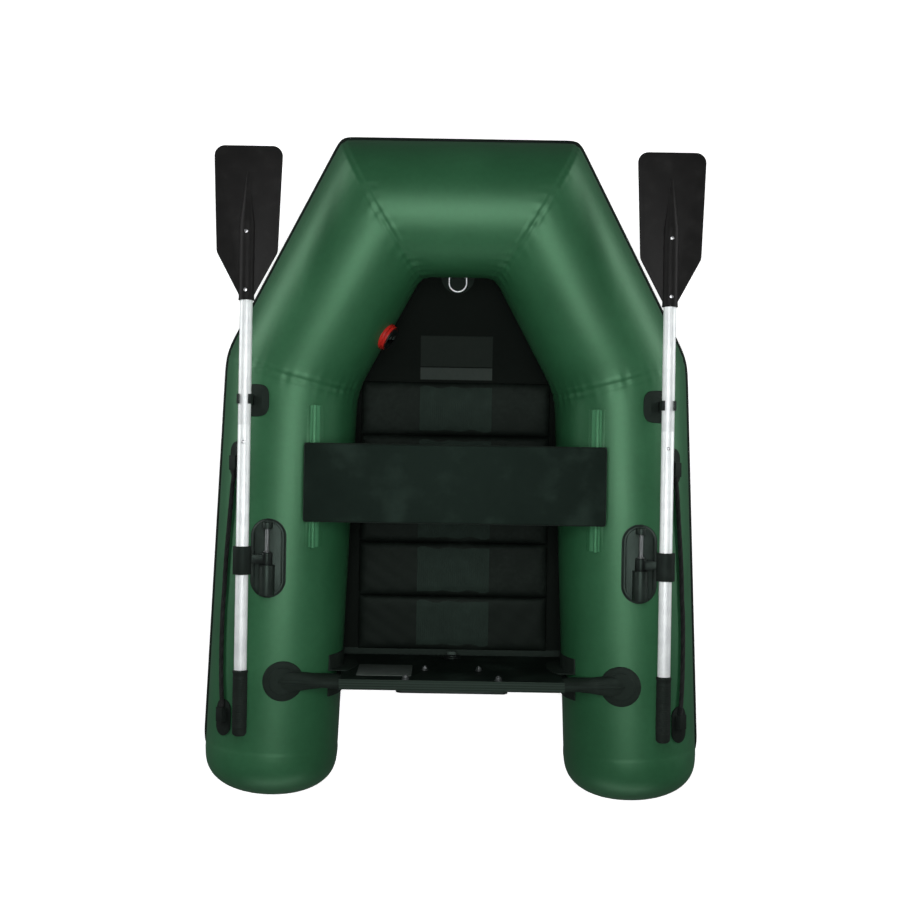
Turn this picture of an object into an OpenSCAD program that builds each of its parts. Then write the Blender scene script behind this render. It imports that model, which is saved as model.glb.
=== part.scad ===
// Small inflatable rowing dinghy with a slatted floor, a sliding bench, a plywood transom and two oars.
// X points to starboard, Y to the bow and Z up. The origin lies on the ground, under the middle of the hull.

/* [Hull] */
// Overall length, from the stern caps to the rubbing strake at the bow
hull_l = 1580; // [1500:1:1950]
// Distance between the side tube centrelines at the shoulder joints
tube_spread = 800; // [700:1:1000]
// Diameter of every buoyancy tube
tube_d = 320; // [266:1:390]
// Thickness of the coated fabric skin
skin_t = 1; // [0.8:0.1:1.5]
// Angle by which each side tube splays outwards towards the stern
flare = 2.35; // [0:0.05:4]
// Length from the shoulder joints forward to the bow tube centreline
shoulder_l = 390; // [340:1:500]
// Width of the bow tube between its mitre joints, on the centreline
bow_w = 366; // [300:1:460]
// Height by which the bow tube is lifted
bow_rise = 80; // [60:1:100]
// Length of each domed stern cap
cap_l = 103; // [85:1:125]
// Width of the rubbing strake
strake_w = 28; // [22:1:34]
// Thickness of the rubbing strake
strake_t = 7; // [5:0.5:9]

/* [Floor] */
// Height of the floor sheet above the ground
floor_z = 12; // [8:1:20]
// Thickness of the floor sheet
floor_t = 1.2; // [1:0.1:2]
// Number of floor slats
slat_n = 5; // [3:1:6]
// Length of a slat, across the boat
slat_l = 480; // [400:1:520]
// Width of a slat, along the boat
slat_w = 130; // [100:1:140]
// Thickness of a plywood slat
slat_t = 9; // [6:0.5:12]
// Width of the welded web between two slat pockets
web_w = 5; // [3:1:10]
// Width of the anti-slip strip down the middle of the mat
strip_w = 184; // [120:1:220]
// Gap between the fold in the floor and the front edge of the slat mat
mat_fold_gap = 28; // [10:1:60]

/* [Transom] */
// Position of the transom's inner face at the floor
transom_y = -477; // [-560:1:-460]
// Backward lean of the transom
transom_rake = 1.5; // [0:0.5:8]
// Thickness of the transom board
transom_t = 24; // [18:1:30]
// Height of the transom board above the floor sheet
transom_h = 332; // [280:1:400]
// Width of the transom board along its top
transom_w = 524; // [440:1:540]
// Width of the motor plate
plate_w = 260; // [200:1:300]
// Height of the motor plate
plate_h = 150; // [120:1:180]
// Thickness of the motor plate
plate_t = 6; // [4:1:8]
// Width of the rubber strips that bond the transom to the tubes
bond_w = 38; // [30:1:45]
// Diameter of the round transom pads on the side tubes
transom_pad_d = 94; // [80:1:105]

/* [Seat] */
// Length of bench board that overhangs each rail
seat_overhang = 21; // [16:1:40]
// Depth of the bench board
seat_d = 184; // [150:1:220]
// Thickness of the bench board
seat_t = 22; // [18:1:26]
// Position of the middle of the bench along the boat
seat_y = -31; // [-60:1:-20]
// Distance from each side tube's centreline in to its seat rail
rail_inset = 80; // [74:1:96]
// Length of each seat rail
rail_l = 334; // [320:1:360]
// Diameter of the bead along the top of each rail
bead_d = 8; // [7:0.5:9]

/* [Rowing gear] */
// Position of the rowlocks along the boat
rowlock_y = -210; // [-250:1:-190]
// Diameter of the rowlock axle
axle_d = 10; // [8:0.5:11]
// Distance from a rowlock axle out to its oar shaft
oar_offset = 50; // [46:1:64]
// Diameter of the oar shafts
shaft_d = 29; // [26:0.5:30]
// Wall thickness of the oar shafts
shaft_wall = 1.2; // [1:0.1:1.5]
// Width of an oar blade at its tip
blade_w = 158; // [130:1:170]
// Length of an oar blade with its socket
blade_l = 353; // [300:1:400]
// Length of shaft forward of the rowlock, up to the blade socket
loom_fore = 593; // [560:1:640]
// Length of oar aft of the rowlock, up to the grip's end
loom_aft = 401; // [380:1:420]
// Diameter of the vertical rowlock pin
pin_d = 12; // [10:0.5:13]

/* [Fittings] */
// Diameter of the boarding valve flanges
valve_d = 66; // [56:1:74]
// Diameter of the tow ring's wire
ring_wire_d = 5; // [4:0.5:6]
// Diameter of the grab line
line_d = 10; // [8:1:12]
// Running clearance around pins, stems and sliding beads
fit = 0.05; // [0.03:0.01:0.1]

/* [Hidden] */
$fn = 64;
tube_r = tube_d / 2;
reach = tube_d;
cut_s = 2 * tube_d;

// Tube centreline corners on the starboard side, and the directions between them
bow_y = hull_l / 2 - strake_t - tube_r;
shoulder_y = bow_y - shoulder_l;
stern_y = -hull_l / 2 + cap_l;
function side_x(y) = tube_spread / 2 + (shoulder_y - y) * tan(flare);
stern_pt = [side_x(stern_y), stern_y, tube_r];
shoulder_pt = [tube_spread / 2, shoulder_y, tube_r];
bow_pt = [bow_w / 2, bow_y, tube_r + bow_rise];
function unit(v) = v / norm(v);
function flip(v) = [-v.x, v.y, v.z];
side_dir = unit(shoulder_pt - stern_pt);
shoulder_dir = unit(bow_pt - shoulder_pt);
bow_dir = [-1, 0, 0];
shoulder_mitre = unit(side_dir + shoulder_dir);
bow_mitre = unit(shoulder_dir + bow_dir);

// Profile of a domed cap of radius r and height h
function dome(r, h, steps) = [
    for (i = [0 : steps]) let (a = 90 * i / steps) [r * pow(cos(a), 0.8), h * pow(sin(a), 0.8)]
];

// Outward directions, carried round each mitre so that the strake meets itself
function carried(v, n) = v - 2 * (v * n) * n;
side_out = cross(side_dir, [0, 0, 1]);
shoulder_out = carried(side_out, shoulder_mitre);
bow_out = carried(shoulder_out, bow_mitre);

// The bow part of the floor lies in a plane under the rising tubes
rise_angle = atan(bow_rise / shoulder_l);
floor_drop = tube_r - floor_z;
fold_in = floor_drop * tan(rise_angle / 2);
bow_floor_l = shoulder_l / cos(rise_angle);
tuck = sqrt(tube_r * tube_r - floor_drop * floor_drop) - 3;
floor_top = floor_z + floor_t / 2;
fold_gap = 0.2;
strake_nip = 0.1;

// Slat mat
mat_skin = 0.8;
slat_play = 0.2;
mat_front_y = shoulder_y + fold_in - mat_fold_gap;
pocket_w = slat_w + 2 * slat_play + 2 * mat_skin;
pocket_l = slat_l + 2 * slat_play + 2 * mat_skin;
pocket_t = slat_t + 2 * slat_play + 2 * mat_skin;
pitch = pocket_w + web_w;
strip_t = 0.8;

// Transom
bolt_r = 4;
bolt_spots = [
    [22 - plate_w / 2, transom_h - 14], [plate_w / 2 - 22, transom_h - 14],
    [-plate_w / 4, transom_h - plate_h + 20], [plate_w / 4, transom_h - plate_h + 20]
];
bond_t = 3;
bond_low = 60;
bond_high = 236;
bond_reach = side_x(transom_y) - tube_r * cos(50);
ear_y = transom_y - transom_h * tan(transom_rake) - transom_t / 2;
ear_w = 46;
pad_x = side_x(ear_y) - 35;
board_tuck = 16.5;

// Seat and rails
rail_y = seat_y + 13;
rail_x = side_x(rail_y) - rail_inset;
seat_l = 2 * (rail_x + seat_overhang);
function tube_top(x, y) = tube_r + sqrt(tube_r * tube_r - pow(side_x(y) - x, 2));
channel_w = 20;
channel_gap = 3;
rail_front_y = rail_y + rail_l / 2;
channel_z = tube_top(rail_x + channel_w / 2, rail_front_y) + channel_gap;
bead_z = channel_z + bead_d / 2 + 2;
bead_fit = 0.3;
web_t = 2;
channel_h = bead_d + 5.5;
flange_w = 44;
flange_t = 3;
seat_z = channel_z + channel_h;
seat_screw_d = 4;
seat_screw_x = 16;
seat_screw_y = seat_d / 2 - 22;

// Rowing gear, measured from the top of the side tube
rowlock_out = 15;
rowlock_x = side_x(rowlock_y) + rowlock_out;
base_w = 84;
base_l = 185;
base_t = 4;
axle_h = 22;
barrel_r = 13;
barrel_l = 28;
end_play = 0.5;
lug_z = axle_h + 6;
lug_h = 8;
lug_r = 12;
pin_h = 14;
pin_gap = 0.3;
shaft_r = shaft_d / 2;
collar_wall = 6.5;
collar_r = shaft_r + collar_wall;
collar_l = 64;
shaft_h = lug_z + lug_h + pin_h + 3.5 + shaft_r;
oar_x = rowlock_x + oar_offset;
oar_z = tube_d + shaft_h;
joint_fore = 309;
sleeve_l = 84;
button_fore = 270;
button_d = 8;
button_stroke = 3.5;
grip_l = 151;
grip_wall = 2;
blade_t = 5;
socket_wall = 3;
socket_l = 177;
screw_d = 4;
screw_gaps = [22, 155];

// Oar clips
clip_y = 158;
clip_pad_d = 76;
clip_wall = 3.5;
clip_l = 22;
clip_play = 0.3;

// Valves
cap_t = 10;
flange_h = 5;
valve_bore_r = 14;
valve_barrel_r = 20;
valve_depth = 42;
stem_r = 3;
valve_lift = 8;
port_valve_along = 196;
port_valve_tilt = 13;
starboard_valve_y = -40;
cap_gap = 0.3;

// Tow ring
ring_along = 229;
ring_w = 44;
ring_leg = 15;
ring_wire_r = ring_wire_d / 2;
ring_patch_t = 1.5;
ring_z = ring_patch_t + 0.5 + ring_wire_r;

// Drain
drain_up = 40;
drain_r = 14;
drain_bore_r = 10;
drain_lip_r = 22;
drain_lip_t = 3;

// Grab line on the starboard side: it lies on the shoulder of the tube between its two holders
line_route = [
    [520, 2, 284], [522, -15, 282], [526, -50, 280], [529, -90, 279], [533, -140, 277],
    [537, -190, 275], [540, -240, 274], [542, -290, 274], [545, -340, 273], [546, -390, 274],
    [546, -440, 276], [545, -490, 279], [543, -530, 283], [541, -555, 285], [541, -574, 286]
];
line_sides = 10;

// Turns a child's Z axis along d and moves it to p
module aim(p, d) {
    translate(p) rotate([0, acos(d.z / norm(d)), atan2(d.y, d.x)]) children();
}

// Frame on a tube: X outwards, Y along the tube and Z up
module tube_frame(p, d, o) {
    u = cross(o, d);
    multmatrix([
        [o.x, d.x, u.x, p.x],
        [o.y, d.y, u.y, p.y],
        [o.z, d.z, u.z, p.z],
        [0, 0, 0, 1]
    ]) children();
}

module to_port() {
    mirror([1, 0, 0]) children();
}

module both_sides() {
    children();
    to_port() children();
}

// Round rod along the line from p to q, with extra length at each end
module rod(p, q, r, extra = reach) {
    aim(p - unit(q - p) * extra, q - p) cylinder(h = norm(q - p) + 2 * extra, r = r);
}

module side_rod(r) {
    rod(stern_pt, shoulder_pt, r);
}

module beyond(p, n) {
    aim(p, n) translate([-cut_s, -cut_s, 0]) cube([2 * cut_s, 2 * cut_s, cut_s]);
}

// Trims a child to the stretch between a mitre plane at p and one at q
module mitred(p, q, np, nq) {
    difference() {
        children();
        beyond(p, -np);
        beyond(q, nq);
    }
}

// Fabric tube with open mitred ends
module tube_skin(p, q, np, nq) {
    difference() {
        mitred(p, q, np, nq) rod(p, q, tube_r);
        rod(p, q, tube_r - skin_t, reach + 1);
    }
}

module side_tube() {
    tube_skin(stern_pt, shoulder_pt, side_dir, shoulder_mitre);
}

module shoulder_tube() {
    tube_skin(shoulder_pt, bow_pt, shoulder_mitre, bow_mitre);
}

module side_tube_port() {
    color("darkgreen") to_port() side_tube();
}

module side_tube_starboard() {
    color("darkgreen") difference() {
        side_tube();
        starboard_valve_frame() valve_hole();
    }
}

module shoulder_tube_port() {
    color("darkgreen") to_port() difference() {
        shoulder_tube();
        port_valve_frame() valve_hole();
    }
}

module shoulder_tube_starboard() {
    color("darkgreen") shoulder_tube();
}

module bow_tube() {
    color("darkgreen") tube_skin(bow_pt, flip(bow_pt), bow_mitre, -flip(bow_mitre));
}

module stern_cap() {
    steps = 12;
    inner = dome(tube_r - skin_t, cap_l - skin_t, steps);
    profile = concat(dome(tube_r, cap_l, steps), [for (i = [steps : -1 : 0]) inner[i]]);
    aim(stern_pt, -side_dir) rotate_extrude() polygon(profile);
}

module stern_caps() {
    color("darkgreen") both_sides() stern_cap();
}

module chamber_baffle() {
    color("seagreen") translate([-skin_t / 2, bow_y, bow_pt.z])
        rotate([0, 90, 0]) cylinder(h = skin_t, r = tube_r - skin_t - fit);
}

// Length of rubbing strake on the outer face of one tube
module strake_bar(p, q, np, nq, o) {
    span = norm(q - p) + 2 * reach;
    nip = strake_nip * unit(q - p);
    intersection() {
        difference() {
            mitred(p + nip, q - nip, np, nq) rod(p, q, tube_r + strake_t);
            rod(p, q, tube_r, reach + 1);
        }
        tube_frame(p, unit(q - p), o) translate([0, -reach, -strake_w / 2])
            cube([2 * tube_r, span, strake_w]);
    }
}

module rubbing_strake() {
    color("black") both_sides() {
        strake_bar(stern_pt, shoulder_pt, side_dir, shoulder_mitre, side_out);
        strake_bar(shoulder_pt, bow_pt, shoulder_mitre, bow_mitre, shoulder_out);
    }
    color("black") strake_bar(bow_pt, flip(bow_pt), bow_mitre, -flip(bow_mitre), bow_out);
}

// Frame on top of the rising bow part of the floor: Y runs forward from under the shoulder joints
module bow_floor_frame() {
    translate([0, shoulder_y, tube_r]) rotate([rise_angle, 0, 0])
        translate([0, 0, -floor_drop + floor_t / 2]) children();
}

module all_rods(r) {
    both_sides() {
        side_rod(r);
        rod(shoulder_pt, bow_pt, r, tube_r);
    }
    rod(bow_pt, flip(bow_pt), r, tube_r);
}

module flat_floor() {
    near = side_x(transom_y) - tuck;
    front_y = shoulder_y + fold_in - fold_gap;
    far = side_x(front_y) - tuck;
    translate([0, 0, floor_z - floor_t / 2]) linear_extrude(floor_t)
        polygon([[-near, transom_y], [near, transom_y], [far, front_y], [-far, front_y]]);
}

module bow_floor() {
    narrow = (tube_spread - bow_w) / 2 / bow_floor_l;
    inset = tuck * sqrt(1 + narrow * narrow);
    near = tube_spread / 2 + narrow * fold_in - inset;
    far = bow_w / 2 + narrow * tuck - inset;
    bow_floor_frame() translate([0, 0, -floor_t]) linear_extrude(floor_t)
        polygon([
            [-near, fold_gap - fold_in], [near, fold_gap - fold_in],
            [far, bow_floor_l - tuck], [-far, bow_floor_l - tuck]
        ]);
}

module floor_sheet() {
    color("dimgray") difference() {
        flat_floor();
        all_rods(tube_r);
    }
    color("dimgray") difference() {
        bow_floor();
        all_rods(tube_r);
    }
}

module at_slats() {
    for (i = [0 : slat_n - 1])
        translate([0, mat_front_y - pocket_w / 2 - i * pitch, floor_top]) children();
}

module slat_mat() {
    join_t = 2 * mat_skin;
    color("darkslategray") difference() {
        union() {
            at_slats() translate([-pocket_l / 2, -pocket_w / 2, 0])
                cube([pocket_l, pocket_w, pocket_t]);
            translate([-pocket_l / 2, mat_front_y - (slat_n - 1) * pitch - pocket_w, 0])
                translate([0, 0, floor_top]) cube([pocket_l, (slat_n - 1) * pitch + pocket_w, join_t]);
        }
        at_slats() translate([-pocket_l / 2 + mat_skin, -pocket_w / 2 + mat_skin, mat_skin])
            cube([pocket_l - 2 * mat_skin, pocket_w - 2 * mat_skin, pocket_t - 2 * mat_skin]);
    }
}

module floor_slats() {
    color("burlywood") at_slats()
        translate([-slat_l / 2, -slat_w / 2, mat_skin + slat_play / 2]) cube([slat_l, slat_w, slat_t]);
}

module mat_strip() {
    color("gray") at_slats() translate([-strip_w / 2, -pocket_w / 2 + 4, pocket_t])
        cube([strip_w, pocket_w - 8, strip_t]);
}

// Plain patch in two panels, one on each side of the fold in the floor
module info_patch() {
    patch_l = 84;
    patch_t = 1.2;
    rear_y = mat_front_y + 9;
    fold_y = shoulder_y + fold_in - 2;
    color("slategray") bow_floor_frame() translate([-strip_w / 2, 2 - fold_in, 0])
        cube([strip_w, patch_l, patch_t]);
    color("slategray") translate([-strip_w / 2, rear_y, floor_top])
        cube([strip_w, fold_y - rear_y, patch_t]);
}

// Frame on the transom's inner face: Y points into the boat and Z up the board
module transom_frame() {
    translate([0, transom_y, floor_z]) rotate([transom_rake, 0, 0]) children();
}

// Slab against the transom, y_from to y_to off its inner face, that is 2 * half wide
module transom_slab(half, y_from, y_to, z_from, z_to) {
    transom_frame() translate([-half, y_from, z_from])
        cube([2 * half, y_to - y_from, z_to - z_from]);
}

// Each motor plate bolt: Z points out through the board and the plate
module at_bolts() {
    for (spot = bolt_spots) transom_frame() translate([spot.x, 0, spot.y])
        rotate([90, 0, 0]) children();
}

module bolt_holes() {
    at_bolts() translate([0, 0, -40]) cylinder(h = 80 + transom_t, r = bolt_r + fit);
}

module transom_board() {
    half_top = transom_w / 2;
    belly = side_x(transom_y) - tube_r + board_tuck;
    color("darkslategray") difference() {
        transom_frame() rotate([90, 0, 0]) linear_extrude(transom_t)
            polygon([
                [-half_top, transom_h], [-half_top, transom_h - 95], [-belly, transom_h - 165],
                [-belly, 18], [-belly + 16, 2], [belly - 16, 2], [belly, 18],
                [belly, transom_h - 165], [half_top, transom_h - 95], [half_top, transom_h]
            ]);
        both_sides() side_rod(tube_r);
        bolt_holes();
        transom_frame() translate([0, 1, drain_up]) rotate([90, 0, 0])
            cylinder(h = transom_t + 2, r = drain_r + fit);
    }
}

module transom_outer_plate() {
    head_h = 4;
    color("black") difference() {
        transom_slab(plate_w / 2, -transom_t - plate_t, -transom_t, transom_h - plate_h, transom_h - 2);
        bolt_holes();
        at_bolts() translate([0, 0, transom_t + plate_t - head_h - 0.3])
            cylinder(h = head_h + 0.4, r1 = bolt_r + fit, r2 = 2 * bolt_r + 0.4 + fit);
    }
}

// Countersunk bolts with their nuts and washers on the inner face
module transom_bolts() {
    head_h = 4;
    outer = transom_t + plate_t - 0.3;
    color("silver") at_bolts() {
        translate([0, 0, outer - head_h]) cylinder(h = head_h, r1 = bolt_r, r2 = 2 * bolt_r);
        translate([0, 0, -11]) cylinder(h = 11 + outer - head_h, r = bolt_r);
        translate([0, 0, -1.5]) cylinder(h = 1.5, r = 2.2 * bolt_r);
        translate([0, 0, -8]) cylinder(h = 7, r = 1.8 * bolt_r, $fn = 6);
    }
}

// Rubber angle that bonds one edge of the transom to a side tube
module bond_strip(y_from, y_to, face_from, face_to) {
    difference() {
        union() {
            intersection() {
                side_rod(tube_r + bond_w);
                transom_slab(bond_reach, face_from, face_to, bond_low, bond_high);
            }
            intersection() {
                side_rod(tube_r + bond_t);
                transom_slab(bond_reach, y_from, y_to, bond_low, bond_high);
            }
        }
        side_rod(tube_r);
        translate([-hull_l, -hull_l, 0]) cube([hull_l + 1, 2 * hull_l, tube_d]);
    }
}

module transom_bonds() {
    outer = -transom_t;
    color("dimgray") both_sides() {
        bond_strip(0, bond_w, 0, bond_t);
        bond_strip(outer - bond_w, outer, outer - bond_t, outer);
    }
}

module transom_ear() {
    half = transom_w / 2;
    top = floor_z + transom_h - 6;
    difference() {
        union() {
            translate([0, ear_y, 0]) rotate([90, 0, 0]) translate([0, 0, -ear_w / 2])
                linear_extrude(ear_w) polygon([
                    [half + 0.2, top - 45], [half + 0.2, top], [half + 26, top - 1],
                    [pad_x, tube_d + 2], [pad_x, tube_d - 40], [half + 8, tube_r + 90]
                ]);
            intersection() {
                side_rod(tube_r + 5);
                translate([pad_x, ear_y, tube_r]) cylinder(h = tube_d, d = transom_pad_d);
            }
        }
        side_rod(tube_r);
    }
}

module transom_ears() {
    color("darkslategray") both_sides() transom_ear();
}

module drain_body() {
    color("black") transom_frame() translate([0, 0, drain_up]) rotate([90, 0, 0]) difference() {
        union() {
            translate([0, 0, -drain_lip_t]) cylinder(h = drain_lip_t, r = drain_lip_r);
            cylinder(h = transom_t, r = drain_r);
            translate([0, 0, transom_t]) cylinder(h = drain_lip_t, r = drain_lip_r - 3);
        }
        translate([0, 0, -drain_lip_t - 1])
            cylinder(h = transom_t + 2 * drain_lip_t + 2, r = drain_bore_r);
    }
}

module drain_plug() {
    color("gray") transom_frame() translate([0, 0, drain_up]) rotate([90, 0, 0]) {
        translate([0, 0, -drain_lip_t - 5]) cylinder(h = 5, r = 15);
        translate([0, 0, -drain_lip_t]) cylinder(h = 20, r = drain_bore_r - fit);
        translate([-12, -2.5, -drain_lip_t - 14]) cube([24, 5, 9]);
    }
}

module rating_plate() {
    plate_l = 130;
    left = tube_r + bond_w + 5 - side_x(transom_y);
    color("slategray") transom_slab_at(left + plate_l / 2, plate_l, 0, 1.2, 150, 284);
}

module transom_slab_at(x_from, width, y_from, y_to, z_from, z_to) {
    transom_frame() translate([x_from - width / 2, y_from, z_from])
        cube([width, y_to - y_from, z_to - z_from]);
}

// Welded rail with a bead along its top
module seat_rail() {
    foot_w = 36;
    translate([0, rail_y - rail_l / 2, 0]) {
        translate([rail_x, 0, bead_z]) rotate([-90, 0, 0]) cylinder(h = rail_l, r = bead_d / 2);
        difference() {
            translate([rail_x - web_t / 2, 0, tube_r]) cube([web_t, rail_l, bead_z - tube_r]);
            translate([0, -rail_y + rail_l / 2, 0]) side_rod(tube_r);
        }
        difference() {
            intersection() {
                translate([0, -rail_y + rail_l / 2, 0]) side_rod(tube_r + skin_t);
                translate([rail_x - foot_w / 2, 0, tube_r]) cube([foot_w, rail_l, tube_r]);
            }
            translate([0, -rail_y + rail_l / 2, 0]) side_rod(tube_r);
        }
    }
}

module seat_rails() {
    color("green") both_sides() seat_rail();
}

module at_seat_screws() {
    for (x = [-seat_screw_x, seat_screw_x], y = [-seat_screw_y, seat_screw_y])
        translate([rail_x + x, seat_y + y, seat_z]) children();
}

module seat_board() {
    corner = 8;
    color("darkslategray") difference() {
        translate([0, seat_y, seat_z]) linear_extrude(seat_t) union() {
            square([seat_l - 2 * corner, seat_d], center = true);
            square([seat_l, seat_d - 2 * corner], center = true);
            for (x = [-1, 1], y = [-1, 1])
                translate([x * (seat_l / 2 - corner), y * (seat_d / 2 - corner)]) circle(r = corner);
        }
        both_sides() at_seat_screws() translate([0, 0, -1])
            cylinder(h = 15, r = seat_screw_d / 2 + fit);
    }
}

module seat_channel() {
    difference() {
        union() {
            translate([rail_x - channel_w / 2, seat_y - seat_d / 2, channel_z])
                cube([channel_w, seat_d, channel_h]);
            translate([rail_x - flange_w / 2, seat_y - seat_d / 2, seat_z - flange_t])
                cube([flange_w, seat_d, flange_t]);
        }
        translate([rail_x, seat_y - seat_d / 2 - 1, bead_z]) rotate([-90, 0, 0])
            cylinder(h = seat_d + 2, r = bead_d / 2 + bead_fit);
        translate([rail_x - web_t / 2 - 0.5, seat_y - seat_d / 2 - 1, channel_z - 1])
            cube([web_t + 1, seat_d + 2, bead_z - channel_z + 1]);
        at_seat_screws() translate([0, 0, -flange_t - 1])
            cylinder(h = flange_t + 2, r = seat_screw_d / 2 + fit);
    }
}

module seat_channels() {
    color("black") both_sides() seat_channel();
}

module seat_screws() {
    color("silver") both_sides() at_seat_screws() {
        translate([0, 0, -flange_t - 1]) cylinder(h = flange_t + 12, r = seat_screw_d / 2);
        translate([0, 0, -flange_t - 2.2]) cylinder(h = 2.2, r = seat_screw_d);
    }
}

module ring_patch() {
    loop_w = 30;
    loop_d = 22;
    color("black") bow_floor_frame() difference() {
        union() {
            translate([0, ring_along, 0]) cylinder(h = ring_patch_t, r = 42);
            translate([-loop_w / 2, ring_along - 5, 0])
                cube([loop_w, loop_d, ring_z + ring_wire_r + 1.5]);
        }
        translate([-loop_w, ring_along, ring_z]) rotate([0, 90, 0])
            cylinder(h = 2 * loop_w, r = ring_wire_r + fit);
    }
}

module tow_ring() {
    half = ring_w / 2;
    color("silver") bow_floor_frame() translate([0, ring_along, ring_z]) {
        translate([-half, 0, 0]) rotate([0, 90, 0]) cylinder(h = ring_w, r = ring_wire_r);
        for (x = [-half, half]) translate([x, 0, 0]) {
            sphere(r = ring_wire_r);
            rotate([90, 0, 0]) cylinder(h = ring_leg, r = ring_wire_r);
        }
        translate([0, -ring_leg, 0]) rotate([0, 0, 180]) rotate_extrude(angle = 180)
            translate([half, 0]) circle(r = ring_wire_r);
    }
}

// Frame of the port valve, drawn on the starboard shoulder: Z points out of the tube, from its centreline
module port_valve_frame() {
    c = shoulder_pt + shoulder_dir * port_valve_along;
    d = shoulder_dir;
    z = cross(shoulder_out, d) * sin(port_valve_tilt) - shoulder_out * cos(port_valve_tilt);
    x = cross(d, z);
    multmatrix([
        [x.x, d.x, z.x, c.x],
        [x.y, d.y, z.y, c.y],
        [x.z, d.z, z.z, c.z],
        [0, 0, 0, 1]
    ]) children();
}

module starboard_valve_frame() {
    aim([side_x(starboard_valve_y), starboard_valve_y, tube_r], -side_out) children();
}

module valve_hole() {
    cylinder(h = 2 * tube_r, r = valve_barrel_r + fit);
}

// Valve body: a flange on the fabric, a barrel inside the tube and a spider that guides the stem
module valve_body() {
    inner_end = tube_r - valve_depth;
    web_z = tube_r - 26;
    difference() {
        union() {
            difference() {
                union() {
                    difference() {
                        translate([0, 0, tube_r - 6]) cylinder(h = 6 + flange_h, d = valve_d);
                        valve_cut();
                    }
                    translate([0, 0, inner_end]) cylinder(h = valve_depth + 1, r = valve_barrel_r);
                }
                translate([0, 0, inner_end - 1])
                    cylinder(h = valve_depth + flange_h + 2, r = valve_bore_r);
            }
            for (a = [0, 90]) rotate([0, 0, a]) translate([-valve_bore_r - 1, -2, web_z])
                cube([2 * valve_bore_r + 2, 4, 4]);
            translate([0, 0, web_z]) cylinder(h = 4, r = stem_r + 2);
        }
        translate([0, 0, web_z - 1]) cylinder(h = 6, r = stem_r + fit);
    }
}

// The tube itself, seen from a valve's frame
module valve_cut() {
    rotate([90, 0, 0]) translate([0, 0, -reach]) cylinder(h = 2 * reach, r = tube_r);
}

module valve_cap() {
    skirt = valve_bore_r - fit;
    start = tube_r + flange_h + cap_gap;
    difference() {
        union() {
            translate([0, 0, start]) cylinder(h = cap_t - 3, d = valve_d - 4);
            translate([0, 0, start]) cylinder(h = cap_t, d = valve_d - 14);
            translate([0, 0, start - 8]) cylinder(h = 8, r = skirt);
        }
        translate([0, 0, start - 9]) cylinder(h = 12, r = skirt - 3);
        for (a = [0, 180]) rotate([0, 0, a]) translate([4, -9, start + cap_t - 4])
            cube([16, 18, 5]);
    }
}

module valve_poppet() {
    disc_z = tube_r - valve_depth - 3;
    translate([0, 0, disc_z]) cylinder(h = tube_r - 6 - disc_z, r = stem_r);
    translate([0, 0, disc_z]) cylinder(h = 3, r = valve_bore_r + 3);
    translate([0, 0, tube_r - 7]) cylinder(h = 2, r = 6);
}

module valve_body_port() {
    color("black") to_port() port_valve_frame() valve_body();
}

module valve_body_starboard() {
    color("black") starboard_valve_frame() valve_body();
}

module valve_cap_port() {
    color("red") to_port() port_valve_frame() valve_cap();
}

module valve_cap_starboard() {
    color("red") starboard_valve_frame() valve_cap();
}

module valve_poppet_port() {
    color("white") to_port() port_valve_frame() valve_poppet();
}

module valve_poppet_starboard() {
    color("white") starboard_valve_frame() valve_poppet();
}

// Frame on top of the side tube at the rowlock
module rowlock_frame() {
    translate([rowlock_x, rowlock_y, tube_d]) children();
}

module stadium(w, l) {
    square([w, l - w], center = true);
    for (y = [-1, 1]) translate([0, y * (l - w) / 2]) circle(d = w);
}

module y_bar(y_from, y_to, r) {
    translate([0, y_from, axle_h]) rotate([-90, 0, 0]) cylinder(h = y_to - y_from, r = r);
}

module rowlock_base() {
    front_from = 70;
    front_to = 84;
    rear_from = -84;
    rear_to = -barrel_l / 2 - end_play;
    plinth_h = 6;
    difference() {
        union() {
            intersection() {
                side_rod(tube_r + base_t);
                rowlock_frame() translate([0, 0, -60]) linear_extrude(80) stadium(base_w, base_l);
            }
            rowlock_frame() {
                translate([0, 0, -30]) linear_extrude(30 + plinth_h) stadium(base_w - 24, base_l - 10);
                y_bar(front_from, front_to, 11);
                translate([-11, front_from, 0]) cube([22, front_to - front_from, axle_h]);
                y_bar(rear_from, rear_to, 17);
                translate([-17, rear_from, 0]) cube([34, rear_to - rear_from, axle_h]);
            }
        }
        side_rod(tube_r);
        rowlock_frame() y_bar(rear_from + 10, front_to + 1, axle_d / 2 + fit);
    }
}

module rowlock_axle() {
    stop = barrel_l / 2 + end_play;
    rowlock_frame() {
        y_bar(-73, 83, axle_d / 2);
        y_bar(stop, stop + 4, axle_d / 2 + 3);
    }
}

// Saddle that tilts on the axle and carries the upright pin
module rowlock_saddle() {
    half = barrel_l / 2;
    arm_w = 20;
    rowlock_frame() difference() {
        union() {
            y_bar(-half, half, barrel_r);
            translate([0, arm_w / 2, axle_h]) rotate([90, 0, 0]) linear_extrude(arm_w)
                polygon([
                    [0, -7], [barrel_r - 1, -3], [oar_offset, lug_z - axle_h],
                    [oar_offset, lug_z + lug_h - axle_h], [barrel_r - 3, 12], [0, 12]
                ]);
            translate([oar_offset, 0, lug_z]) cylinder(h = lug_h, r = lug_r);
            translate([oar_offset, 0, lug_z]) cylinder(h = lug_h + pin_h, r = pin_d / 2);
        }
        y_bar(-half - 1, half + 1, axle_d / 2 + fit);
    }
}

module rowlock_base_port() {
    color("black") to_port() rowlock_base();
}

module rowlock_base_starboard() {
    color("black") rowlock_base();
}

module rowlock_axle_port() {
    color("silver") to_port() rowlock_axle();
}

module rowlock_axle_starboard() {
    color("silver") rowlock_axle();
}

module rowlock_saddle_port() {
    color("black") to_port() rowlock_saddle();
}

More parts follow.
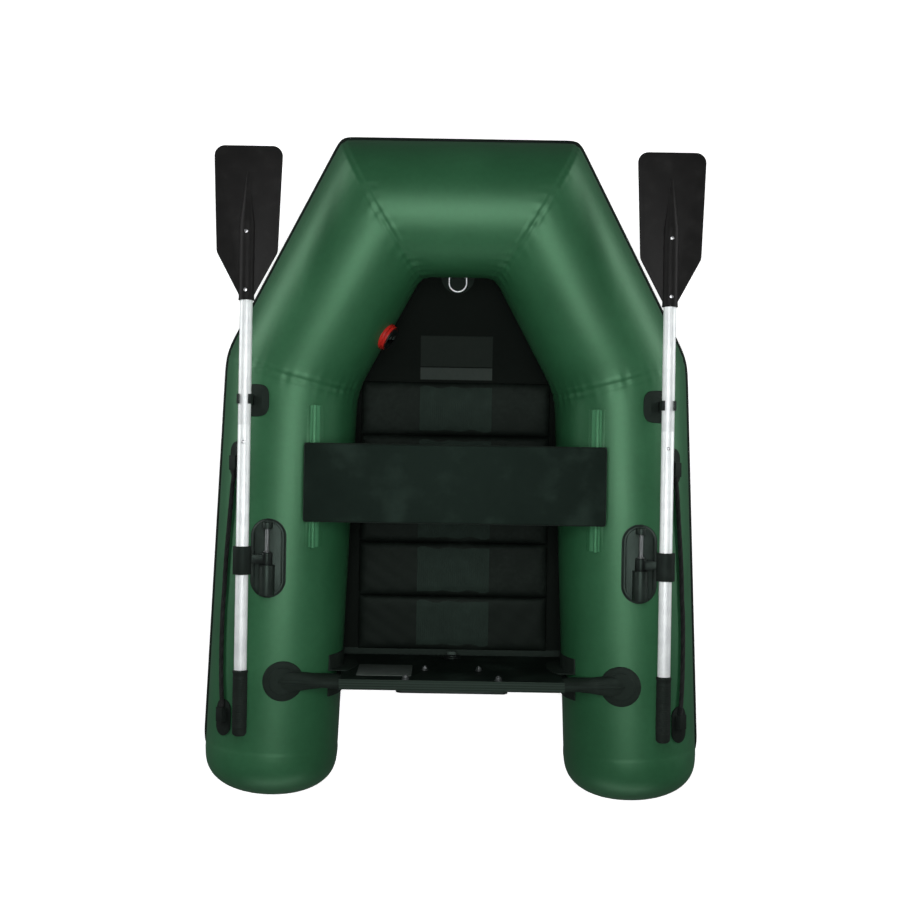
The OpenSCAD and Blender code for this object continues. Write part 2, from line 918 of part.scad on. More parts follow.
module rowlock_saddle_starboard() {
    color("black") rowlock_saddle();
}

// Frame of the stowed oar: the origin is where the pin's axis meets the shaft, and Y points to the blade
module oar_frame() {
    translate([oar_x, rowlock_y, oar_z]) children();
}

module oar_bar(y_from, y_to, r) {
    translate([0, y_from, 0]) rotate([-90, 0, 0]) cylinder(h = y_to - y_from, r = r);
}

module oar_collar() {
    boss_from = lug_z + lug_h + pin_gap - shaft_h;
    oar_frame() difference() {
        union() {
            oar_bar(-collar_l / 2, collar_l / 2, collar_r);
            translate([0, 0, boss_from]) cylinder(h = -boss_from, r = 13);
        }
        oar_bar(-collar_l, collar_l, shaft_r);
        translate([0, 0, boss_from - 1])
            cylinder(h = pin_h + 1 + 0.3, r = pin_d / 2 + fit);
    }
}

// Grip half of the shaft: a plain tube with the hole for the snap button
module oar_inner_shaft() {
    oar_frame() difference() {
        oar_bar(-loom_aft + grip_wall + 2, joint_fore, shaft_r);
        oar_bar(-loom_aft, joint_fore + 1, shaft_r - shaft_wall);
        translate([0, button_fore, 0]) cylinder(h = shaft_d, r = button_d / 2 + fit);
    }
}

// Blade half of the shaft, with the reduced end that slides into the grip half
module oar_outer_shaft() {
    sleeve_r = shaft_r - shaft_wall - fit;
    oar_frame() difference() {
        union() {
            oar_bar(joint_fore, loom_fore + socket_l - 10, shaft_r);
            oar_bar(joint_fore - sleeve_l, joint_fore + 1, sleeve_r);
        }
        oar_bar(joint_fore - sleeve_l - 1, loom_fore + socket_l, sleeve_r - shaft_wall);
        translate([0, button_fore, 0]) cylinder(h = shaft_d, r = button_d / 2 + fit);
        oar_screw_holes();
    }
}

module oar_screw_holes() {
    for (gap = screw_gaps) translate([0, loom_fore + gap, -shaft_d])
        cylinder(h = 2 * shaft_d, r = screw_d / 2 + fit);
}

module oar_button() {
    oar_frame() translate([0, button_fore, 0]) {
        translate([0, 0, 6]) cylinder(h = shaft_r - 6 + 2, r = button_d / 2);
        translate([0, 0, shaft_r + 2]) cylinder(h = 1.5, r1 = button_d / 2, r2 = button_d / 2 - 1.5);
    }
}

module oar_grip() {
    end_r = shaft_r + grip_wall;
    corner = 9;
    oar_frame() difference() {
        translate([0, -loom_aft, 0]) rotate([-90, 0, 0]) rotate_extrude() union() {
            square([end_r - corner, grip_l]);
            translate([0, corner]) square([end_r, grip_l - corner]);
            intersection() {
                translate([end_r - corner, corner]) circle(r = corner);
                square([end_r, grip_l]);
            }
        }
        oar_bar(-loom_aft + grip_wall + 2, 0, shaft_r);
    }
}

// Blade: a flat plate with rounded tip corners on a tapering socket
module oar_blade() {
    half = blade_w / 2;
    corner = 24;
    tip = loom_fore + blade_l;
    shoulder = loom_fore + 110;
    socket_r = shaft_r + fit + socket_wall;
    oar_frame() difference() {
        union() {
            translate([0, 0, -blade_t / 2]) linear_extrude(blade_t) union() {
                polygon([
                    [-socket_r, loom_fore + 8], [socket_r, loom_fore + 8], [half - 9, shoulder],
                    [half, tip - corner], [-half, tip - corner], [9 - half, shoulder]
                ]);
                translate([corner - half, tip - corner - 1]) square([blade_w - 2 * corner, corner + 1]);
                for (x = [-1, 1]) translate([x * (half - corner), tip - corner]) circle(r = corner);
            }
            oar_bar(loom_fore, loom_fore + socket_l, socket_r);
            translate([0, loom_fore + socket_l, 0]) rotate([-90, 0, 0])
                cylinder(h = blade_l - socket_l - 60, r1 = socket_r, r2 = 3);
        }
        oar_bar(loom_fore - 1, loom_fore + socket_l - 9, shaft_r + fit);
        oar_screw_holes();
    }
}

module oar_screws() {
    top = shaft_r + fit + socket_wall;
    oar_frame() for (gap = screw_gaps) translate([0, loom_fore + gap, 0]) {
        translate([0, 0, -top]) cylinder(h = 2 * top + 0.5, r = screw_d / 2);
        translate([0, 0, top]) cylinder(h = 2.5, r = screw_d);
    }
}

module oar_collar_port() {
    color("black") to_port() oar_collar();
}

module oar_collar_starboard() {
    color("black") oar_collar();
}

module oar_inner_shaft_port() {
    color("silver") to_port() oar_inner_shaft();
}

module oar_inner_shaft_starboard() {
    color("silver") oar_inner_shaft();
}

module oar_outer_shaft_port() {
    color("silver") to_port() oar_outer_shaft();
}

module oar_outer_shaft_starboard() {
    color("silver") oar_outer_shaft();
}

module oar_grip_port() {
    color("black") to_port() oar_grip();
}

module oar_grip_starboard() {
    color("black") oar_grip();
}

module oar_blade_port() {
    color("black") to_port() oar_blade();
}

module oar_blade_starboard() {
    color("black") oar_blade();
}

module oar_screws_port() {
    color("silver") to_port() oar_screws();
}

module oar_screws_starboard() {
    color("silver") oar_screws();
}

module oar_button_port() {
    color("gray") to_port() oar_button();
}

module oar_button_starboard() {
    color("gray") oar_button();
}

module clip_pad() {
    difference() {
        intersection() {
            side_rod(tube_r + 3);
            translate([oar_x - 8, clip_y, tube_r]) cylinder(h = tube_d, d = clip_pad_d);
        }
        side_rod(tube_r);
    }
}

module clip_pads() {
    color("black") both_sides() clip_pad();
}

// Sprung clip, open at the top, on a stem that stands on its pad
module oar_clip() {
    inner = shaft_r + clip_play;
    stem_w = 20;
    difference() {
        union() {
            translate([oar_x, clip_y - clip_l / 2, oar_z]) rotate([-90, 0, 0])
                cylinder(h = clip_l, r = inner + clip_wall);
            translate([oar_x - stem_w / 2, clip_y - clip_l / 2, tube_r])
                cube([stem_w, clip_l, oar_z - shaft_r - 2 - tube_r]);
        }
        translate([oar_x, clip_y - clip_l, oar_z]) rotate([-90, 0, 0])
            cylinder(h = 2 * clip_l, r = inner);
        translate([oar_x - 10, clip_y - clip_l, oar_z]) cube([20, 2 * clip_l, 2 * shaft_r]);
        side_rod(tube_r + 3);
    }
}

module oar_clip_port() {
    color("black") to_port() oar_clip();
}

module oar_clip_starboard() {
    color("black") oar_clip();
}

// Moulded holder on an oblong patch, which grips one end of the grab line
module line_holder(p, side) {
    block_l = 34;
    lift = 4;
    up = [sin(42), 0, cos(42)];
    base = p - up * (line_d / 2 + lift);
    difference() {
        union() {
            intersection() {
                side_rod(tube_r + 3);
                aim(base, up) translate([0, side * 16, -30]) linear_extrude(60) stadium(48, 86);
            }
            aim(base, up) translate([-11, side > 0 ? -8 : 8 - block_l, -6]) cube([22, block_l, 24]);
        }
        side_rod(tube_r);
    }
}

module line_holders() {
    color("black") both_sides() {
        line_holder(line_route[0], 1);
        line_holder(line_route[len(line_route) - 1], -1);
    }
}

// Tangent of the grab line at a route point
function heading(i) = unit(line_route[min(i + 1, len(line_route) - 1)] - line_route[max(i - 1, 0)]);
function ring_at(i) = let (
    t = heading(i),
    a = unit(cross(t, [0, 0, 1])),
    b = cross(a, t)
) [
    for (k = [0 : line_sides - 1]) let (w = 360 * k / line_sides)
        line_route[i] + line_d / 2 * (a * cos(w) + b * sin(w))
];

module line_sweep() {
    n = len(line_route);
    points = [for (i = [0 : n - 1]) each ring_at(i)];
    walls = [
        for (i = [0 : n - 2], k = [0 : line_sides - 1]) let (
            j = (k + 1) % line_sides,
            here = i * line_sides,
            next = here + line_sides
        ) each [[here + k, here + j, next + j], [here + k, next + j, next + k]]
    ];
    first = [for (k = [line_sides - 1 : -1 : 0]) k];
    last = [for (k = [0 : line_sides - 1]) (n - 1) * line_sides + k];
    polyhedron(points = points, faces = concat(walls, [first], [last]));
}

module grab_line_port() {
    color("black") to_port() line_sweep();
}

module grab_line_starboard() {
    color("black") line_sweep();
}

side_tube_port();
side_tube_starboard();
shoulder_tube_port();
shoulder_tube_starboard();
bow_tube();
stern_caps();
chamber_baffle();
rubbing_strake();
floor_sheet();
slat_mat();
floor_slats();
mat_strip();
info_patch();
transom_board();
transom_outer_plate();
transom_bolts();
transom_bonds();
transom_ears();
drain_body();
drain_plug();
rating_plate();
seat_rails();
seat_board();
seat_channels();
seat_screws();
ring_patch();
tow_ring();
valve_body_port();
valve_body_starboard();
valve_cap_port();
valve_cap_starboard();
valve_poppet_port();
valve_poppet_starboard();
rowlock_base_port();
rowlock_base_starboard();
rowlock_axle_port();
rowlock_axle_starboard();
rowlock_saddle_port();
rowlock_saddle_starboard();
oar_collar_port();
oar_collar_starboard();
oar_inner_shaft_port();
oar_inner_shaft_starboard();
oar_outer_shaft_port();
oar_outer_shaft_starboard();
oar_grip_port();
oar_grip_starboard();
oar_blade_port();
oar_blade_starboard();
oar_screws_port();
oar_screws_starboard();
oar_button_port();
oar_button_starboard();
clip_pads();
oar_clip_port();
oar_clip_starboard();
line_holders();
grab_line_port();
grab_line_starboard();
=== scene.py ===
"""Looks of a small inflatable rowing boat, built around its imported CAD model."""

import logging
import math
from dataclasses import dataclass, field
from enum import Enum
from typing import Callable, Iterable, Sequence

import bpy
import numpy as np
from mathutils import Matrix, Vector


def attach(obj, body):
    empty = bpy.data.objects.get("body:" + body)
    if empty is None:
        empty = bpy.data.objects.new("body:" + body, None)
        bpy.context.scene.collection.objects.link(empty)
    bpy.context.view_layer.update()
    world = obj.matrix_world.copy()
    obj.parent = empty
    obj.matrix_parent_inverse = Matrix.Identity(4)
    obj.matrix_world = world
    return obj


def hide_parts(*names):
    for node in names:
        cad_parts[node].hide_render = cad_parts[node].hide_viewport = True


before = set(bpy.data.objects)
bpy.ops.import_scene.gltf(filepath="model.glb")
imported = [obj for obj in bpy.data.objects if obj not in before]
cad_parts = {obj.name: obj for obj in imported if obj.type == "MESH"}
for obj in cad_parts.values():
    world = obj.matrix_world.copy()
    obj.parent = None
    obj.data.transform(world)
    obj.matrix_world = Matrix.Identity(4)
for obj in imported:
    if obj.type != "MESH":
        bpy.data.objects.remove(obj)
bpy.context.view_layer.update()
LOG = logging.getLogger("boat")
TUBE_R = 0.160
JOINT_X, JOINT_Y, SPLAY = 0.400, 0.233, 0.041038
Colour = tuple[float, float, float]
Point = tuple[float, float, float]


def side_middle(y: float) -> float:
    """X of the starboard side tube's centreline at a distance Y along the boat."""
    return JOINT_X + (JOINT_Y - y) * SPLAY


class Side(Enum):
    """The two sides of the boat, with the sign of X on each."""
    PORT = -1
    STARBOARD = 1

    @property
    def tag(self) -> str:
        """Name of the side as the CAD nodes spell it."""
        return self.name.lower()


# ---------------------------------------------------------------- meshes


def mesh_object(name: str, points: np.ndarray, faces: Sequence[Sequence[int]],
                angle: float = 40.0, outward: bool = True) -> bpy.types.Object:
    """Makes an object at the origin from points in metres.

    Args:
        name: the piece's name.
        points: one row for each vertex.
        faces: vertex numbers of each face.
        angle: edges sharper than this, in degrees, stay crisp.
        outward: turn a closed shape the right way out if it is inside out.

    Returns:
        The new object, linked to the scene.
    """
    points = np.asarray(points, float).reshape(-1, 3)
    if outward and signed_volume(points, faces) < 0:
        faces = [tuple(reversed(tuple(f))) for f in faces]
    mesh = bpy.data.meshes.new(name)
    mesh.from_pydata(points.tolist(), [], [tuple(int(i) for i in f) for f in faces])
    mesh.update()
    piece = bpy.data.objects.new(name, mesh)
    bpy.context.scene.collection.objects.link(piece)
    smooth(piece, angle)
    return piece


def turns(count: int) -> np.ndarray:
    """Evenly spaced angles of one full turn."""
    return np.linspace(0, 2 * math.pi, count, endpoint=False)


def signed_volume(points: np.ndarray, faces: Sequence[Sequence[int]]) -> float:
    """Volume inside the faces, below zero where they point inwards.

    Args:
        points: one row for each vertex.
        faces: vertex numbers of each face.

    Returns:
        The volume in cubic metres.
    """
    total = 0.0
    for f in faces:
        a = points[f[0]]
        for i in range(1, len(f) - 1):
            total += float(np.dot(a, np.cross(points[f[i]], points[f[i + 1]])))
    return total


def smooth(piece: bpy.types.Object, angle: float) -> None:
    """Shades a mesh smooth, apart from edges sharper than the angle in degrees."""
    piece.data.shade_smooth()
    piece.data.set_sharp_from_angle(angle=math.radians(angle))


def grid_faces(rows: int, cols: int, wrap_rows: bool = False,
               wrap_cols: bool = False) -> list[tuple[int, int, int, int]]:
    """Four-sided faces between the points of a grid, row after row.

    Args:
        rows: number of rows of points.
        cols: number of points in a row.
        wrap_rows: join the last row to the first.
        wrap_cols: join the last point of a row to its first.

    Returns:
        Vertex numbers of each face.
    """
    faces = []
    for i in range(rows if wrap_rows else rows - 1):
        here, there = i * cols, (i + 1) % rows * cols
        for j in range(cols if wrap_cols else cols - 1):
            k = (j + 1) % cols
            faces.append((here + j, here + k, there + k, there + j))
    return faces


def closed_sheet(name: str, top: Sequence[Point], under: Sequence[Point], rows: int, cols: int,
                 angle: float) -> bpy.types.Object:
    """Closed mesh between an upper and a lower grid of points, joined round the rim.

    Args:
        name: the piece's name.
        top: points of the upper grid, row after row.
        under: points of the lower grid, in the same order.
        rows: number of rows of points.
        cols: number of points in a row.
        angle: edges sharper than this, in degrees, stay crisp.

    Returns:
        The closed sheet.
    """
    n = rows * cols
    faces = list(grid_faces(rows, cols))
    faces += [tuple(reversed([v + n for v in f])) for f in grid_faces(rows, cols)]
    rim = [*range(cols), *range(2 * cols - 1, n, cols), *range(n - 2, n - cols - 1, -1),
           *range(n - 2 * cols, 0, -cols)]
    faces += [(b, a, a + n, b + n) for a, b in zip(rim, rim[1:] + rim[:1])]
    return mesh_object(name, np.array([*top, *under]), faces, angle)


def taken_mesh(piece: bpy.types.Object, *shift: float) -> bpy.types.Mesh:
    """Moves a piece's mesh by (x, y, z), removes the object and keeps the mesh.

    Args:
        piece: the object that carries the mesh.
        *shift: the move in metres.

    Returns:
        The moved mesh.
    """
    mesh = piece.data
    bpy.data.objects.remove(piece)
    mesh.transform(Matrix.Translation(shift))
    return mesh


def capped_tube(name: str, rings: np.ndarray, angle: float = 40.0) -> bpy.types.Object:
    """Closed mesh through rings of points with flat ends.

    Args:
        name: the piece's name.
        rings: points, first by ring and then round it.
        angle: edges sharper than this, in degrees, stay crisp.

    Returns:
        The closed piece.
    """
    n, m = rings.shape[:2]
    faces = list(grid_faces(n, m, wrap_cols=True))
    faces.append(tuple(reversed(range(m))))
    faces.append(tuple(range((n - 1) * m, n * m)))
    return mesh_object(name, rings.reshape(-1, 3), faces, angle)


def lay_uv(piece: bpy.types.Object, uv: np.ndarray) -> None:
    """Writes a UV map from one pair of metres for each vertex.

    Args:
        piece: the piece that gets the map.
        uv: one pair for each vertex.
    """
    layer = piece.data.uv_layers.new(name="UVMap")
    corners = np.zeros(len(piece.data.loops), np.int32)
    piece.data.loops.foreach_get("vertex_index", corners)
    layer.data.foreach_set("uv", np.asarray(uv, np.float32)[corners].ravel())


def lathe(name: str, profile: Sequence[tuple[float, float]], at: Point, axis: Point,
          around: int = 48, angle: float = 35.0) -> bpy.types.Object:
    """Turns a profile of (radius, height) pairs round an axis.

    Args:
        name: the piece's name.
        profile: the outline from one pole to the other, in metres.
        at: where the axis starts.
        axis: direction of the height.
        around: number of steps in a turn.
        angle: edges sharper than this stay crisp.

    Returns:
        The closed piece.
    """
    z = Vector(axis).normalized()
    x = z.orthogonal().normalized()
    y = z.cross(x)
    rings, poles = [], []
    for r, h in profile:
        centre = Vector(at) + z * h
        if r < 1e-7:
            poles.append(centre)
            continue
        rings.append([centre + (x * math.cos(a) + y * math.sin(a)) * r
                      for a in turns(around)])
    points = [p for ring in rings for p in ring]
    faces = list(grid_faces(len(rings), around, wrap_cols=True))
    last = (len(rings) - 1) * around
    if len(poles) == 2:
        points += poles
        n = len(points)
        faces += [(n - 2, (j + 1) % around, j) for j in range(around)]
        faces += [(n - 1, last + j, last + (j + 1) % around) for j in range(around)]
    else:
        faces += [tuple(reversed(range(around))), tuple(range(last, last + around))]
    return mesh_object(name, np.array([tuple(p) for p in points]), faces, angle)


def joined(name: str, pieces: Iterable[bpy.types.Object]) -> bpy.types.Object:
    """Joins mesh objects at the origin into one, keeping each material.

    Args:
        name: the new piece's name.
        pieces: the objects to join; they are removed.

    Returns:
        The joined piece.
    """
    pieces = list(pieces)
    points, faces, slots, materials, base = [], [], [], [], 0
    for piece in pieces:
        mesh = piece.data
        co = np.zeros(len(mesh.vertices) * 3)
        mesh.vertices.foreach_get("co", co)
        points.append(co.reshape(-1, 3))
        shift = len(materials)
        materials += list(mesh.materials) or [None]
        for face in mesh.polygons:
            faces.append(tuple(v + base for v in face.vertices))
            slots.append(face.material_index + shift)
        base += len(mesh.vertices)
        bpy.data.objects.remove(piece)
    whole = mesh_object(name, np.concatenate(points), faces, 35.0, outward=False)
    for material in materials:
        whole.data.materials.append(material)
    whole.data.polygons.foreach_set("material_index", np.array(slots, np.int32))
    return whole


def bevelled(piece: bpy.types.Object, width: float, segments: int = 2,
             angle: float = 32.0) -> bpy.types.Object:
    """Rounds a piece's sharp edges and applies the result to its mesh.

    Args:
        piece: the piece to round.
        width: size of the rounding in metres.
        segments: steps in the rounding.
        angle: edges flatter than this, in degrees, stay as they are.

    Returns:
        The same piece.
    """
    bevel = piece.modifiers.new("edges", "BEVEL")
    bevel.width = width
    bevel.segments = segments
    bevel.limit_method = "ANGLE"
    bevel.angle_limit = math.radians(angle)
    bevel.use_clamp_overlap = True
    return applied(piece, 35.0)


def applied(piece: bpy.types.Object, angle: float = 35.0) -> bpy.types.Object:
    """Turns what a piece's modifiers make into its own mesh and removes them.

    Args:
        piece: the piece whose modifiers are used up.
        angle: edges sharper than this, in degrees, stay crisp.

    Returns:
        The same piece.
    """
    graph = bpy.context.evaluated_depsgraph_get()
    made = bpy.data.meshes.new_from_object(
        piece.evaluated_get(graph), preserve_all_data_layers=True, depsgraph=graph)
    piece.modifiers.clear()
    piece.data = made
    smooth(piece, angle)
    return piece


def refined(node: str, name: str, width: float = 0.0008, segments: int = 2) -> bpy.types.Object:
    """Copy of a hard CAD node with its triangles merged and its edges rounded.

    Args:
        node: the CAD node to copy.
        name: the new piece's name.
        width: size of the rounding in metres.
        segments: steps in the rounding.

    Returns:
        The new piece, which isn't on a body yet.
    """
    piece = bpy.data.objects.new(name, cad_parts[node].data.copy())
    bpy.context.scene.collection.objects.link(piece)
    piece.data.materials.clear()
    weld = piece.modifiers.new("weld", "WELD")
    weld.merge_threshold = 1e-5
    flat = piece.modifiers.new("flat", "DECIMATE")
    flat.decimate_type = "DISSOLVE"
    flat.angle_limit = math.radians(1.0)
    return bevelled(piece, width, segments)


def rounded_slab(name: str, outline: Sequence[tuple[float, float]], low: float, high: float,
                 edge: float, place: Callable[[float, float, float], Point],
                 steps: int = 4) -> bpy.types.Object:
    """Plate with a free outline, whose rims are rounded on both faces.

    Args:
        name: the piece's name.
        outline: corners in the plate's plane, anticlockwise.
        low: height of the lower face.
        high: height of the upper face.
        edge: radius of the rims.
        place: turns (x, y, height) into a point of the boat.
        steps: steps in each rim.

    Returns:
        The closed plate.
    """
    flat = np.array(outline, float)
    ahead, behind = np.roll(flat, -1, 0) - flat, flat - np.roll(flat, 1, 0)
    ahead /= np.linalg.norm(ahead, axis=1)[:, None]
    behind /= np.linalg.norm(behind, axis=1)[:, None]
    inward = np.stack([-(ahead + behind)[:, 1], (ahead + behind)[:, 0]], 1)
    inward /= np.linalg.norm(inward, axis=1)[:, None]
    inward /= np.maximum(0.5, (inward[:, 0] * -ahead[:, 1] + inward[:, 1] * ahead[:, 0]))[:, None]
    levels = []
    for i in range(steps + 1):
        a = math.pi / 2 * i / steps
        levels.append((edge * (1 - math.sin(a)), low + edge * (1 - math.cos(a))))
    levels += [(s, low + high - h) for s, h in reversed(levels)]
    rings = np.array([[place(x, y, h) for x, y in flat + inward * s] for s, h in levels])
    return capped_tube(name, rings, 30.0)


def rounded_outline(corners: Sequence[tuple[float, float]], radius: float | Sequence[float],
                    steps: int = 8) -> list[tuple[float, float]]:
    """Outline through corners, each turned with an arc of its radius.

    Args:
        corners: the corners in order.
        radius: one radius for all corners, or one for each.
        steps: steps in each arc.

    Returns:
        Points of the outline.
    """
    result: list[tuple[float, float]] = []
    n = len(corners)
    radii = [radius] * n if isinstance(radius, (int, float)) else list(radius)
    for i, r in enumerate(radii):
        p, q, s = (np.array(corners[k % n], float) for k in (i - 1, i, i + 1))
        a, b = (p - q) / np.linalg.norm(p - q), (s - q) / np.linalg.norm(s - q)
        half = math.acos(float(np.clip(a @ b, -1, 1))) / 2
        if r <= 0 or half > 1.55:
            result.append((float(q[0]), float(q[1])))
            continue
        reach = min(r / math.tan(half), 0.45 * np.linalg.norm(p - q), 0.45 * np.linalg.norm(s - q))
        r = reach * math.tan(half)
        centre = q + (a + b) / np.linalg.norm(a + b) * r / math.sin(half)
        start, end = q + a * reach - centre, q + b * reach - centre
        turn = math.atan2(start[0] * end[1] - start[1] * end[0], float(start @ end))
        for k in range(steps + 1):
            w = turn * k / steps
            c, d = math.cos(w), math.sin(w)
            result.append((float(centre[0] + start[0] * c - start[1] * d),
                           float(centre[1] + start[0] * d + start[1] * c)))
    return result


def mirrored(piece: bpy.types.Object, side: Side) -> bpy.types.Object:
    """Turns a starboard mesh into its port twin where the side is port.

    Args:
        piece: the starboard mesh.
        side: the side it is wanted on.

    Returns:
        The same piece.
    """
    if side is Side.PORT:
        piece.data.transform(Matrix.Scale(-1, 4, (1, 0, 0)))
        piece.data.flip_normals()
        piece.data.update()
    return piece


def settle(piece: bpy.types.Object, finish: "Finish", body: str, slot: str,
           *nodes: str) -> bpy.types.Object:
    """Dresses a piece and puts it on its body in place of CAD nodes.

    Args:
        piece: the finished mesh.
        finish: its material recipe.
        body: the CAD body it rides on.
        slot: the record's material slot; not used.
        *nodes: the CAD nodes it stands for.

    Returns:
        The same piece.
    """
    if not any(piece.data.materials):
        piece.data.materials.clear()
        piece.data.materials.append(finish.material())
        first = np.zeros(len(piece.data.polygons), np.int32)
        piece.data.polygons.foreach_set("material_index", first)
    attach(piece, body)
    if nodes:
        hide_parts(*nodes)
    LOG.info("%s: %d faces on %s", piece.name, len(piece.data.polygons), body)
    return piece


def carry(node: str, name: str, finish: "Finish", body: str, slot: str, width: float,
          segments: int = 2) -> None:
    """Refines a copy of a hard CAD node and settles it in the node's place.

    Args:
        node: the CAD node.
        name: the new piece's name.
        finish: its material recipe.
        body: the CAD body it rides on.
        slot: the record's material slot.
        width: size of the rounding in metres.
        segments: steps in the rounding.
    """
    settle(refined(node, name, width, segments), finish, body, slot, node)


def split_finish(piece: bpy.types.Object, main: "Finish", other: "Finish",
                 takes_other: Callable[[Vector], bool]) -> bpy.types.Object:
    """Gives the faces that pass a test the other finish, and the rest the main one.

    Args:
        piece: the piece to dress.
        main: finish of the faces that fail the test.
        other: finish of the faces that pass.
        takes_other: the test, which gets a face's middle.

    Returns:
        The same piece.
    """
    piece.data.materials.clear()
    piece.data.materials.append(main.material())
    piece.data.materials.append(other.material())
    for face in piece.data.polygons:
        face.material_index = int(takes_other(face.center))
    return piece


@dataclass
class TubePatch:
    """Moulded patch on top of the starboard side tube, drawn in plan."""
    x: float
    y: float
    half_w: float
    half_l: float
    square: float = 2.0
    around: int = 96

    def ring(self, share: float, height: float) -> list[Point]:
        """Outline at a share of its reach, lifted off the tube by a height.

        Args:
            share: share of the patch's reach.
            height: lift off the tube in metres.

        Returns:
            Points of the outline.
        """
        straight = max(0.0, self.half_l - self.half_w)
        points = []
        for a in turns(self.around):
            c, s = math.cos(a), math.sin(a)
            k = (abs(c) ** self.square + abs(s) ** self.square) ** (-1 / self.square)
            x = self.x + share * self.half_w * c * k
            y = self.y + share * self.half_w * s * k + math.copysign(straight, s)
            off = x - side_middle(y)
            points.append((x, y, TUBE_R + math.sqrt((TUBE_R + height) ** 2 - off * off)))
        return points

    def solid(self, name: str, profile: Sequence[tuple[float, float]]) -> bpy.types.Object:
        """Closed patch from (share, height) pairs, middle to rim."""
        rings = [self.ring(*p) for p in profile] + [self.ring(1.0, -0.001), self.ring(0.03, -0.001)]
        return capped_tube(name, np.array(rings), 32.0)

    def band(self, name: str, profile: Sequence[tuple[float, float]]) -> bpy.types.Object:
        """Closed lip round the patch from (share, height) pairs that end where they began.

        Args:
            name: the piece's name.
            profile: the (share, height) pairs.

        Returns:
            The closed lip.
        """
        rings = np.array([self.ring(*p) for p in profile])
        faces = grid_faces(len(rings), self.around, wrap_rows=True, wrap_cols=True)
        return mesh_object(name, rings.reshape(-1, 3), faces, 35.0)


def loft(name: str, sections: Sequence[tuple[float, float, float, float, float]],
         around: int = 36, power: float = 2.6) -> bpy.types.Object:
    """Closed body through soft-cornered sections across X.

    Args:
        name: the piece's name.
        sections: (x, middle y, half width, lowest z, highest z) of each.
        around: points in a section.
        power: 2 for an ellipse, more for squarer sections.

    Returns:
        The closed body.
    """
    rings = []
    for x, y, half, low, high in sections:
        ring = []
        for a in turns(around):
            c, s = math.cos(a), math.sin(a)
            k = (abs(c) ** power + abs(s) ** power) ** (-1 / power)
            ring.append((x, y + half * c * k, (low + high) / 2 + (high - low) / 2 * s * k))
        rings.append(ring)
    return capped_tube(name, np.array(rings), 40.0)


def cubic(a: np.ndarray, b: np.ndarray, c: np.ndarray, d: np.ndarray, t: float) -> np.ndarray:
    """Point at a share t between b and c on the smooth curve through a, b, c and d."""
    return 0.5 * (2 * b + (c - a) * t + (2 * a - 5 * b + 4 * c - d) * t ** 2
                  + (3 * b - a - 3 * c + d) * t ** 3)


def eased_sections(keys: Sequence[tuple[float, ...]], steps: int) -> list[tuple[float, ...]]:
    """Smooth run of sections through a few key ones.

    Args:
        keys: the key sections, as rows of numbers.
        steps: how many sections are wanted.

    Returns:
        The sections.
    """
    table = np.array(keys)
    table = np.stack([2 * table[0] - table[1], *table, 2 * table[-1] - table[-2]])
    result = []
    for t in np.linspace(0, len(keys) - 1, steps):
        i = min(int(t), len(keys) - 2)
        result.append(tuple(cubic(*table[i:i + 4], t - i).tolist()))
    return result


# ---------------------------------------------------------------- geometry nodes


class NodeWriter:
    """Writes a node tree one node at a time."""
    prefix: str = ""

    def __init__(self, tree: bpy.types.NodeTree) -> None:
        """Keeps the tree to write in."""
        self.tree = tree

    def add(self, kind: str, settings: dict[str, object] | None = None,
            **inputs: object) -> bpy.types.Node:
        """Adds a node.

        Args:
            kind: the node's type, without the prefix.
            settings: the node's own properties.
            **inputs: values or output sockets for its inputs, by name or _number.

        Returns:
            The new node.
        """
        node = self.tree.nodes.new(self.prefix + kind)
        for key, value in (settings or {}).items():
            setattr(node, key, value)
        for key, value in inputs.items():
            place = int(key[1:]) if key[1:].isdigit() else key.replace("_", " ")
            if isinstance(value, bpy.types.NodeSocket):
                self.link(value, node.inputs[place])
            else:
                node.inputs[place].default_value = value
        return node

    def link(self, source: bpy.types.NodeSocket, target: bpy.types.NodeSocket) -> None:
        """Joins an output to an input."""
        self.tree.links.new(source, target)

    def maths(self, operation: str, a: object, b: object = 0.0) -> bpy.types.NodeSocket:
        """Result of one sum on the numbers a and b."""
        kind = "ShaderNodeMath".removeprefix(self.prefix)
        return self.add(kind, {"operation": operation}, _0=a, _1=b).outputs[0]


